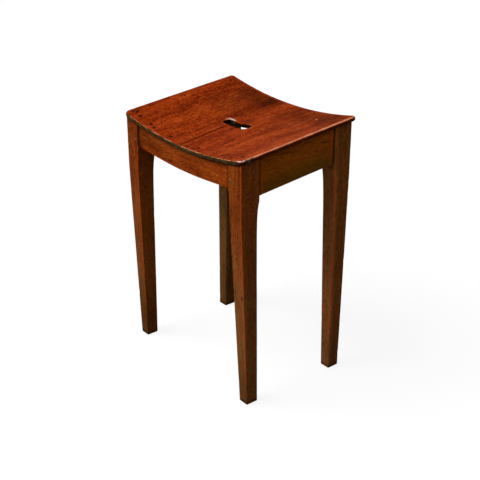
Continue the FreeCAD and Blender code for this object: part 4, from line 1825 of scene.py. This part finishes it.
@dataclass
class EndRail:
    """The front or back rail: dished on top to the seat and bowed below to match."""

    end: End
    plan: FramePlan
    half_rings: int = 30
    tight_seam: float = 0.35

    @property
    def seed(self) -> float:
        """A number of the rail's own, for its unevenness."""
        return 20.0 + self.end.value

    def lower_edge(self, x: float) -> float:
        """Height of the lower edge at a distance from the middle."""
        radius = (self.plan.shoulder_x**2 + self.plan.bow**2) / (2 * self.plan.bow)
        return self.plan.end_rail_low(self.end) + radius - math.sqrt(radius**2 - x**2)

    def build(self) -> bpy.types.Object:
        """Make the rail's mesh.

        Returns:
            The rail.
        """
        mesh = PieceMesh()
        half = self.plan.shoulder_x - TIGHT
        places = [half * (count / self.half_rings - 1) for count in range(2 * self.half_rings + 1)]
        mesh.loft([self._ring(mesh, x) for x in places], end_grain=1.0)
        return mesh.build(f"{self.end.word}_rail")

    def _ring(self, mesh: PieceMesh, x: float) -> list[int]:
        """Lay one ring of the rail.

        Args:
            mesh: The rail being made.
            x: The ring's distance right of the middle.

        Returns:
            The ring's points.
        """
        section = RailSection(
            self.end.value, self.plan.face_y(self.end) - self.plan.setback, self.plan.rail_thickness,
            self.lower_edge(x), (1.1 + 0.35 * unevenness((x, 0.0, 0.0), 0.04, self.seed)) * MM,
            lambda y: self.plan.seat.under_at(x, y))
        ring = []
        for point in section.points(face_steps=6):
            waves = unevenness((x * 0.4, point.a, point.b), 0.03, self.seed)
            outside = section.outside(point)
            # painted shadow just under the seat, dark seams at the ends, a darker inner face and the darker
            # left end
            grime = max(
                0.40 * section.near_top(point, 7 * MM), self._seam(x) * outside, 0.6 * (1 - outside),
                self._dirt(x, point.b - section.low))
            ring.append(mesh.add(
                Vector((x, section.planed(point, waves), point.b)),
                wear=0.8 * outside * section.on_arris(point), raw=1 - outside, grime=grime))
        return ring

    def _seam(self, x: float) -> float:
        """How dark the joints at the rail's ends show: the left one gapes and the right one is tight."""
        gap = self.plan.shoulder_x - abs(x)
        return fade(gap, 3 * MM, 10 * MM) if x < 0 else self.tight_seam * fade(gap, 0.8 * MM, 2.5 * MM)

    def _dirt(self, x: float, height: float) -> float:
        """How much darker the rail's face is: at its left end, and beside that in its upper part."""
        upper = 0.48 * fade(self.plan.shoulder_x + x, 0.055, 0.105) * smooth(height, 4 * MM, 16 * MM)
        return max(upper, 0.50 * fade(self.plan.shoulder_x + x, 0.008, 0.022))


@dataclass
class SideRail:
    """The left or right rail: deeper, straight, and sloping with the seat."""

    side: Side
    plan: FramePlan
    spans: int = 40

    @property
    def seed(self) -> float:
        """A number of the rail's own, for its unevenness."""
        return 30.0 + self.side.value

    def build(self) -> bpy.types.Object:
        """Make the rail's mesh.

        Returns:
            The rail.
        """
        mesh = PieceMesh()
        front, back = -self.plan.shoulder_y(End.FRONT) + TIGHT, self.plan.shoulder_y(End.BACK) - TIGHT
        places = [front + (back - front) * count / self.spans for count in range(self.spans + 1)]
        mesh.loft([self._ring(mesh, y) for y in places], end_grain=1.0)
        return mesh.build(f"{self.side.word}_rail")

    def _ring(self, mesh: PieceMesh, y: float) -> list[int]:
        """Lay one ring of the rail.

        Args:
            mesh: The rail being made.
            y: The ring's distance behind the middle.

        Returns:
            The ring's points.
        """
        section = RailSection(
            self.side.value, self.plan.face_x - self.plan.setback, self.plan.rail_thickness,
            self.plan.side_rail_low(y), (1.0 + 0.3 * unevenness((0.0, y, 0.0), 0.04, self.seed)) * MM,
            lambda x: self.plan.seat.under_at(x, y))
        shoulder = self.plan.shoulder_y(End.FRONT if y < 0 else End.BACK)
        near_leg = fade(shoulder - abs(y), 0.8 * MM, 2.5 * MM)
        strip = 0.45 * smooth(abs(y), shoulder - 0.016, shoulder - 0.006) * (1 - near_leg)
        ring = []
        for point in section.points(face_steps=10):
            waves = unevenness((point.a, y * 0.4, point.b), 0.03, self.seed)
            outside = section.outside(point)
            # olive towards the lower edge; painted shadow just under the seat, dark seams at the legs and a
            # darker inner face
            faded = 0.85 * fade(point.b - section.low, 2 * MM, 0.050) * outside
            grime = max(
                0.30 * section.near_top(point, 8 * MM), 0.7 * near_leg * outside, 0.6 * (1 - outside))
            ring.append(mesh.add(
                Vector((section.planed(point, waves), y, point.b)),
                wear=outside * max(0.3 * section.on_arris(point), strip), raw=1 - outside,
                faded=faded, grime=grime))
        return ring


@dataclass
class CornerBlock(CornerPiece):
    """A glue block in one inner corner of the frame, notched round the leg."""

    reach: float = 0.046
    height: float = 0.032
    gap: float = 0.06 * MM
    sawn_corner: float = 1.2 * MM
    notch_corner: float = 0.3 * MM
    levels: tuple[float, ...] = (0.0, 0.03, 0.2, 0.4, 0.6, 0.8, 0.97, 1.0)

    def _outline(self) -> RoundedOutline:
        """Draw the block's plan.

        Returns:
            The outline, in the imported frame.
        """
        plan = self.plan
        far_x = plan.face_x - plan.setback - plan.rail_thickness - self.gap
        far_y = plan.face_y(self.end) - plan.setback - plan.rail_thickness - self.gap
        near_x, near_y = plan.shoulder_x - self.gap, plan.shoulder_y(self.end) - self.gap
        corners = tuple(self.outward(x, y) for x, y in (
            (far_x, far_y - self.reach), (far_x, near_y), (near_x, near_y), (near_x, far_y),
            (far_x - self.reach, far_y)))
        radii = (self.sawn_corner, *[self.notch_corner] * 3, self.sawn_corner)
        return RoundedOutline(corners, radii, face_steps=5, margin=MM)

    def build(self) -> bpy.types.Object:
        """Make the block's mesh.

        Returns:
            The block.
        """
        mesh = PieceMesh()
        outline = self._outline()
        low = self.plan.tenon_low(self.end)
        middle = Vector(outline.corners[2]) * 0.94
        seed = 40.0 + self.turn
        rings = []
        for share in self.levels:
            ring = []
            for point in outline.points():
                saw = 0.12 * MM * max(unevenness((point.a, point.b, share * 0.03), 0.004, seed), 0.0)
                pinch = 0.02 * (share in (0.0, 1.0)) + saw / 0.02
                spot = Vector((point.a, point.b)).lerp(middle, pinch)
                z = min(low + self.height * share, self.plan.seat.under_at(spot.x, spot.y) - TIGHT)
                inside = smooth((middle - spot).length, 0.004, 0.03)
                # darker towards the inner corner and under the seat, as painted shade
                grime = 0.3 * inside + 0.3 * (share > 0.9)
                ring.append(mesh.add(Vector((spot.x, spot.y, z)), grime=grime))
            rings.append(ring)
        mesh.loft(rings, grime=0.2)
        return mesh.build(f"{self.spot}_corner_block")


@dataclass
class Peg(CornerPiece):
    """The whittled peg through one end-rail tenon, with its domed end on the leg's face."""

    radius: float = 3.2 * MM
    length: float = 0.026
    from_shoulder: float = 8.5 * MM
    above_tenon: float = 7.5 * MM
    proud: float = 0.28 * MM
    ring_points: int = 16
    end_grain: float = 0.35

    def build(self) -> bpy.types.Object:
        """Make the peg's mesh.

        Returns:
            The peg.
        """
        mesh = PieceMesh()
        x = self.side.value * (self.plan.shoulder_x + self.from_shoulder)
        z, face = self.plan.tenon_low(self.end) + self.above_tenon, self.plan.face_y(self.end)
        seed = 50.0 + self.turn
        profile = (
            (self.proud - self.length, 0.88), (-3 * MM, 0.97), (-0.25 * MM, 1.0), (0.02 * MM, 0.96),
            (0.18 * MM, 0.82), (self.proud, 0.5))
        rings = []
        for out, share in profile:
            ring = []
            for count, (cos, sin) in enumerate(circle(self.ring_points)):
                knife = abs(math.sin(4 * math.tau * count / self.ring_points + seed))
                facet = 1 - 0.05 * knife + 0.02 * unevenness((count, out, 0.0), 0.7, seed)
                radius = self.radius * share * facet
                spot = Vector((x + radius * cos, self.end.value * (face + out), z + radius * sin))
                ring.append(mesh.add(spot, grime=0.9 * (share >= 0.96), end_grain=self.end_grain))
            rings.append(ring)
        mesh.loft(rings, end_grain=self.end_grain)
        return mesh.build(f"{self.spot}_peg")


# old dents, fillings, chips and bruises of the seat, and painted highlights on the slot's worn rim and on
# the chips at the front right corner
SEAT_MARKS = (
    Mark(-176.3, -123, 3.4, 5.0, srgb(22, 16, 12), 0.9),
    Mark(-170.8, -115.5, 3.0, 4.0, srgb(18, 12, 4), 0.9),
    Mark(-153.5, -121, 4.4, 4.0, srgb(14, 8, 4), 0.95),
    Mark(-115, -122.5, 3.8, 3.8, srgb(16, 10, 2), 0.95),
    Mark(-98.8, -125.6, 4.6, 3.4, srgb(24, 12, 10), 0.92),
    Mark(-46.0, -124.6, 5.0, 2.6, srgb(44, 12, 2), 0.85),
    Mark(38.5, -122, 2.2, 6.6, srgb(34, 10, 2), 0.92),
    Mark(37.0, -129, 4.2, 2.6, srgb(36, 12, 4), 0.85),
    Mark(160, -114.5, 4.6, 5.0, srgb(56, 24, 8), 0.9),
    Mark(161.5, 15, 1.8, 3.0, srgb(70, 30, 14), 0.45),
    Mark(119.7, 96.5, 1.7, 2.0, srgb(250, 200, 160), 1.0),
    Mark(-3, -122, 1.8, 2.4, srgb(116, 90, 82), 0.65),
    # chips at the front right corner, whose white and pale pink spots are painted glints
    Mark(175.6, -136.6, 2.0, 1.6, srgb(236, 196, 176), 0.8),
    Mark(179.8, -135.6, 1.7, 1.8, srgb(240, 236, 246), 0.9),
    Mark(182.2, -132.6, 1.7, 1.3, srgb(90, 92, 116), 0.85),
    Mark(184.2, -131.2, 1.5, 1.8, srgb(236, 206, 204), 0.8),
    Mark(186.0, -127.0, 2.0, 2.4, srgb(92, 96, 70), 0.85),
    Mark(186.8, -121.0, 1.9, 2.2, srgb(176, 140, 134), 0.75),
    Mark(187.2, -115.5, 2.0, 3.4, srgb(84, 84, 66), 0.8),
    Mark(168.5, -131.5, 1.5, 1.9, srgb(214, 116, 62), 0.6),
    # pale lines on the slot's worn far rim, which are painted highlights
    Mark(-26, 8.2, 8.5, 2.0, srgb(216, 206, 198), 0.9),
    Mark(-34, 3.5, 1.6, 5.0, srgb(206, 178, 160), 0.8),
    Mark(29, 12.4, 7.0, 1.3, srgb(120, 84, 60), 0.7),
    Mark(8, 9.0, 5.0, 1.3, srgb(70, 30, 12), 0.6),
    Mark(4, 24, 7.0, 9.0, srgb(84, 28, 12), 0.55),
    Mark(-30, -104, 1.6, 8.0, srgb(70, 20, 6), 0.35),
    Mark(96, 30, 1.6, 12.0, srgb(72, 22, 6), 0.35),
)
FRONT_RAIL_MARKS = (
    Mark(-116.3, -134, 3.4, 2.0, srgb(140, 104, 72), 0.7, 465.9),
)
FRONT_LEG_MARKS = (
    Mark(178, -130, 2.4, 4.2, srgb(26, 14, 8), 0.85, 234.0),
    Mark(182, -112, 4.0, 11.0, srgb(142, 92, 36), 0.30, 217.0),
    Mark(151, -135, 1.8, 2.4, srgb(150, 128, 92), 0.6, 461.5),
    Mark(146.5, -135, 1.6, 6.0, srgb(88, 70, 60), 0.5, 488.0),
)

# the seat's pale worn colour and red band along the arrises are also its painted highlights
SEAT_FINISH = PolishedWood(
    grain=Grain.DEEP, marks=SEAT_MARKS, gloss=0.010,
    dark=srgb(80, 18, 0), deep=srgb(122, 36, 3), body=srgb(150, 52, 9), glow=srgb(186, 80, 26),
    rubbed_and_highlight=srgb(190, 76, 28), worn=srgb(224, 156, 118))
# the legs' orange worn and band colours are also the painted highlight along the lit arris
LEG_FINISH = PolishedWood(
    grain=Grain.UPRIGHT, mottle=0.18, flecks=0.85,
    dark=srgb(80, 30, 3), deep=srgb(116, 48, 8), body=srgb(140, 64, 16), glow=srgb(168, 84, 28),
    rubbed_and_highlight=srgb(180, 70, 18), worn=srgb(206, 90, 34))
# a darker, more olive copy of the leg finish, which paints the shade that the back legs stand in under the
# seat
SHADED_BACK_LEG_FINISH = replace(
    LEG_FINISH,
    dark=srgb(64, 34, 2), deep=srgb(94, 50, 6), body=srgb(114, 62, 10), glow=srgb(138, 78, 18))
# each leg's pale tint; on the back legs it is painted light and shade on their front faces
LEG_FINISHES = {
    (End.FRONT, Side.LEFT): replace(LEG_FINISH, faded=srgb(119, 85, 40)),
    (End.FRONT, Side.RIGHT): replace(LEG_FINISH, faded=srgb(144, 103, 56), marks=FRONT_LEG_MARKS),
    (End.BACK, Side.LEFT): replace(SHADED_BACK_LEG_FINISH, faded=srgb(132, 100, 56)),
    (End.BACK, Side.RIGHT): replace(SHADED_BACK_LEG_FINISH, faded=srgb(178, 116, 66)),
}
END_RAIL_FINISH = PolishedWood(
    grain=Grain.ACROSS, mottle=0.18, marks=FRONT_RAIL_MARKS,
    dark=srgb(98, 32, 2), deep=srgb(146, 58, 10), body=srgb(168, 76, 20), glow=srgb(190, 98, 34),
    rubbed_and_highlight=srgb(178, 80, 24), worn=srgb(186, 94, 38))
BACK_RAIL_FINISH = replace(
    END_RAIL_FINISH, marks=(),
    dark=srgb(78, 34, 2), deep=srgb(116, 54, 8), body=srgb(138, 68, 14), glow=srgb(160, 86, 24))
SIDE_RAIL_FINISH = PolishedWood(
    grain=Grain.DEEP, mottle=0.18, faded=srgb(94, 72, 8),
    dark=srgb(96, 44, 3), deep=srgb(134, 66, 9), body=srgb(150, 78, 12), glow=srgb(174, 92, 20),
    rubbed_and_highlight=srgb(162, 66, 14), worn=srgb(158, 84, 30))
PEG_FINISH = PolishedWood(
    grain=Grain.DEEP,
    dark=srgb(84, 48, 26), deep=srgb(112, 70, 42), body=srgb(140, 96, 66), glow=srgb(170, 126, 92),
    rubbed_and_highlight=srgb(150, 106, 74), worn=srgb(186, 150, 120))


@dataclass
class Stool:
    """The whole stool: builds every piece and dresses it."""

    seat: SeatShape = field(default_factory=SeatShape)
    nails: NailPlan = field(default_factory=NailPlan)
    left_front_corner: float = 0.013

    @property
    def plan(self) -> FramePlan:
        """The plan that all pieces under the seat share."""
        return FramePlan(self.seat)

    def add_seat(self) -> None:
        """Build the two seat boards and the stopping in their nail holes."""
        for side in Side:
            board = SeatBoard(side, self.seat, HandSlot(), BoardJoint(), self.nails)
            if side is Side.LEFT:
                board.front_corner = self.left_front_corner
            finish = SEAT_FINISH.material(f"{side.word}_seat_wood", 1.0 + side.value * 0.5)
            dress(board.build(), finish, f"seat_board_{side.word}")
        for number, group in enumerate(NailGroup):
            caps = StoppingGroup(group, self.seat, self.nails).build()
            wax = Stopping().material(f"{group.value}_stopping_wax", number)
            dress(caps, wax, f"stopping_{group.value}")

    def add_frame(self) -> None:
        """Build the end rails with the pieces at their corners, then the side rails."""
        for end in End:
            finish = BACK_RAIL_FINISH if end is End.BACK else END_RAIL_FINISH
            wood = finish.material(f"{end.word}_rail_wood", 4.0 + end.value)
            dress(EndRail(end, self.plan).build(), wood, f"rail_{end.word}")
            for side in Side:
                self._add_corner(side, end)
        for side in Side:
            wood = SIDE_RAIL_FINISH.material(f"{side.word}_rail_wood", 12.0 + side.value)
            dress(SideRail(side, self.plan).build(), wood, f"rail_{side.word}")

    def _add_corner(self, side: Side, end: End) -> None:
        """Build the leg, the peg and the corner block of one corner.

        Args:
            side: The corner's side.
            end: The corner's end.
        """
        spot = f"{end.word}_{side.word}"
        seed = 7.0 + 2 * side.value + end.value
        for kind, node, finish, slot in (
            (Leg, "leg", LEG_FINISHES[end, side], Slot.LEG),
            (Peg, "peg", PEG_FINISH, Slot.PEG),
            (CornerBlock, "corner_block", RoughSawnWood(), Slot.BLOCK),
        ):
            piece = kind(side, end, self.plan).build()
            dress(piece, finish.material(f"{spot}_{slot.value}", seed), f"{node}_{spot}")

    def finish_nails(self) -> None:
        """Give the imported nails, whose shape is right, their iron."""
        for number, group in enumerate(NailGroup):
            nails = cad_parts[f"nails_{group.value}"]
            iron = NailIron().material(f"{group.value}_nail_iron", number)
            for slot in nails.material_slots:
                slot.material = iron
            LOG.info("%s: kept as packed, finished in iron", nails.name)


@dataclass(frozen=True)
class Lamp:
    """A broad soft sun: its strength and tint, its place on the sky and its width, in degrees."""

    name: str
    strength: float
    tint: Colour
    azimuth: float
    elevation: float
    width: float


@dataclass
class Studio:
    """The plain white stage, the soft lights and the camera."""

    azimuth: float = 51.4825
    elevation: float = 24.6074
    distance: float = 2.02933
    target: Triple = (-0.03305, 0.03365, 0.23052)
    lens: float = 73.06
    sensor: float = 36.0
    clip: Pair = (0.05, 60.0)
    floor_reaches: tuple[float, ...] = (0.4, 1.0, 2.2, 3.6)
    radius: float = 6.0
    sweep: float = 1.0
    sweep_steps: int = 8
    wall: float = 2.3
    floor_points: int = 96
    sky: float = 0.24
    sky_tint: Colour = (1.0, 0.985, 0.96)
    lamps: tuple[Lamp, ...] = (
        Lamp("key_light", 2.62, (1.0, 1.0, 1.0), -26.0, 56.0, 36.0),
        Lamp("front_fill", 0.53, (1.0, 1.0, 1.0), -12.0, 12.0, 60.0),
        Lamp("side_fill", 0.56, (0.90, 1.0, 0.74), 58.0, 20.0, 60.0),
    )

    def add_stage(self) -> None:
        """Build the floor, which sweeps up into a low round wall."""
        bend = self.radius - self.sweep
        profile = [(reach, 0.0) for reach in (*self.floor_reaches, bend)]
        for count in range(1, self.sweep_steps + 1):
            turn = math.pi / 2 * count / self.sweep_steps
            profile.append((bend + self.sweep * math.sin(turn), self.sweep * (1 - math.cos(turn))))
        profile.append((self.radius, self.wall))
        mesh = PieceMesh()
        spokes = circle(self.floor_points)
        rings = [
            [mesh.add(Vector((reach * cos, reach * sin, height))) for cos, sin in spokes]
            for reach, height in profile]
        mesh.skin(rings)
        mesh.faces.append(tuple(rings[0]))
        stage = mesh.build("stage_floor")
        stage.data.materials.append(StageWhite().material("stage_white"))
        stage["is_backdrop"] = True
        LOG.info("%s: floor and wall", stage.name)

    def add_lights(self) -> None:
        """Hang one broad soft key, two weak fills and an even pale sky."""
        for lamp in self.lamps:
            sun = bpy.data.lights.new(lamp.name, "SUN")
            sun.energy, sun.color = lamp.strength, lamp.tint
            sun.angle = math.radians(lamp.width)
            holder = bpy.data.objects.new(lamp.name, sun)
            towards = self._ray(lamp.azimuth, lamp.elevation)
            holder.rotation_euler = towards.to_track_quat("Z", "Y").to_euler()
            bpy.context.scene.collection.objects.link(holder)
        world = bpy.data.worlds.new("studio_sky")
        world.use_nodes = True
        sky = world.node_tree.nodes["Background"]
        sky.inputs["Color"].default_value = (*self.sky_tint, 1.0)
        sky.inputs["Strength"].default_value = self.sky
        bpy.context.scene.world = world

    def _ray(self, azimuth: float, elevation: float) -> Vector:
        """The direction of a place on the sky: 0 degrees of azimuth is the front and 90 the right."""
        a, e = math.radians(azimuth), math.radians(elevation)
        return Vector((math.sin(a) * math.cos(e), -math.cos(a) * math.cos(e), math.sin(e)))

    def add_camera(self) -> None:
        """Stand the camera where the photograph was taken from."""
        view = bpy.data.cameras.new("viewpoint")
        view.lens, view.sensor_width = self.lens, self.sensor
        view.clip_start, view.clip_end = self.clip
        camera = bpy.data.objects.new("viewpoint", view)
        ray = self._ray(self.azimuth, self.elevation)
        camera.location = Vector(self.target) + ray * self.distance
        camera.rotation_euler = (-ray).to_track_quat("-Z", "Y").to_euler()
        bpy.context.scene.collection.objects.link(camera)
        bpy.context.scene.camera = camera
        bpy.context.scene.view_settings.view_transform = "Standard"


def corners(box: Iterable[Vector]) -> list[list[float]]:
    """Write a box's corners as plain lists of numbers."""
    return [[float(share) for share in corner] for corner in box]


def main() -> None:
    """Build the stool and its studio, and end with both boxes: the imported frame's and the visual one's."""
    logging.basicConfig(level=logging.INFO, format="%(name)s: %(message)s")
    stool = Stool()
    stool.add_seat()
    stool.add_frame()
    stool.finish_nails()
    studio = Studio()
    studio.add_stage()
    studio.add_lights()
    studio.add_camera()
    {"cad": corners(cad_box), "visual": corners(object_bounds())}


if __name__ == "__main__":
    main()
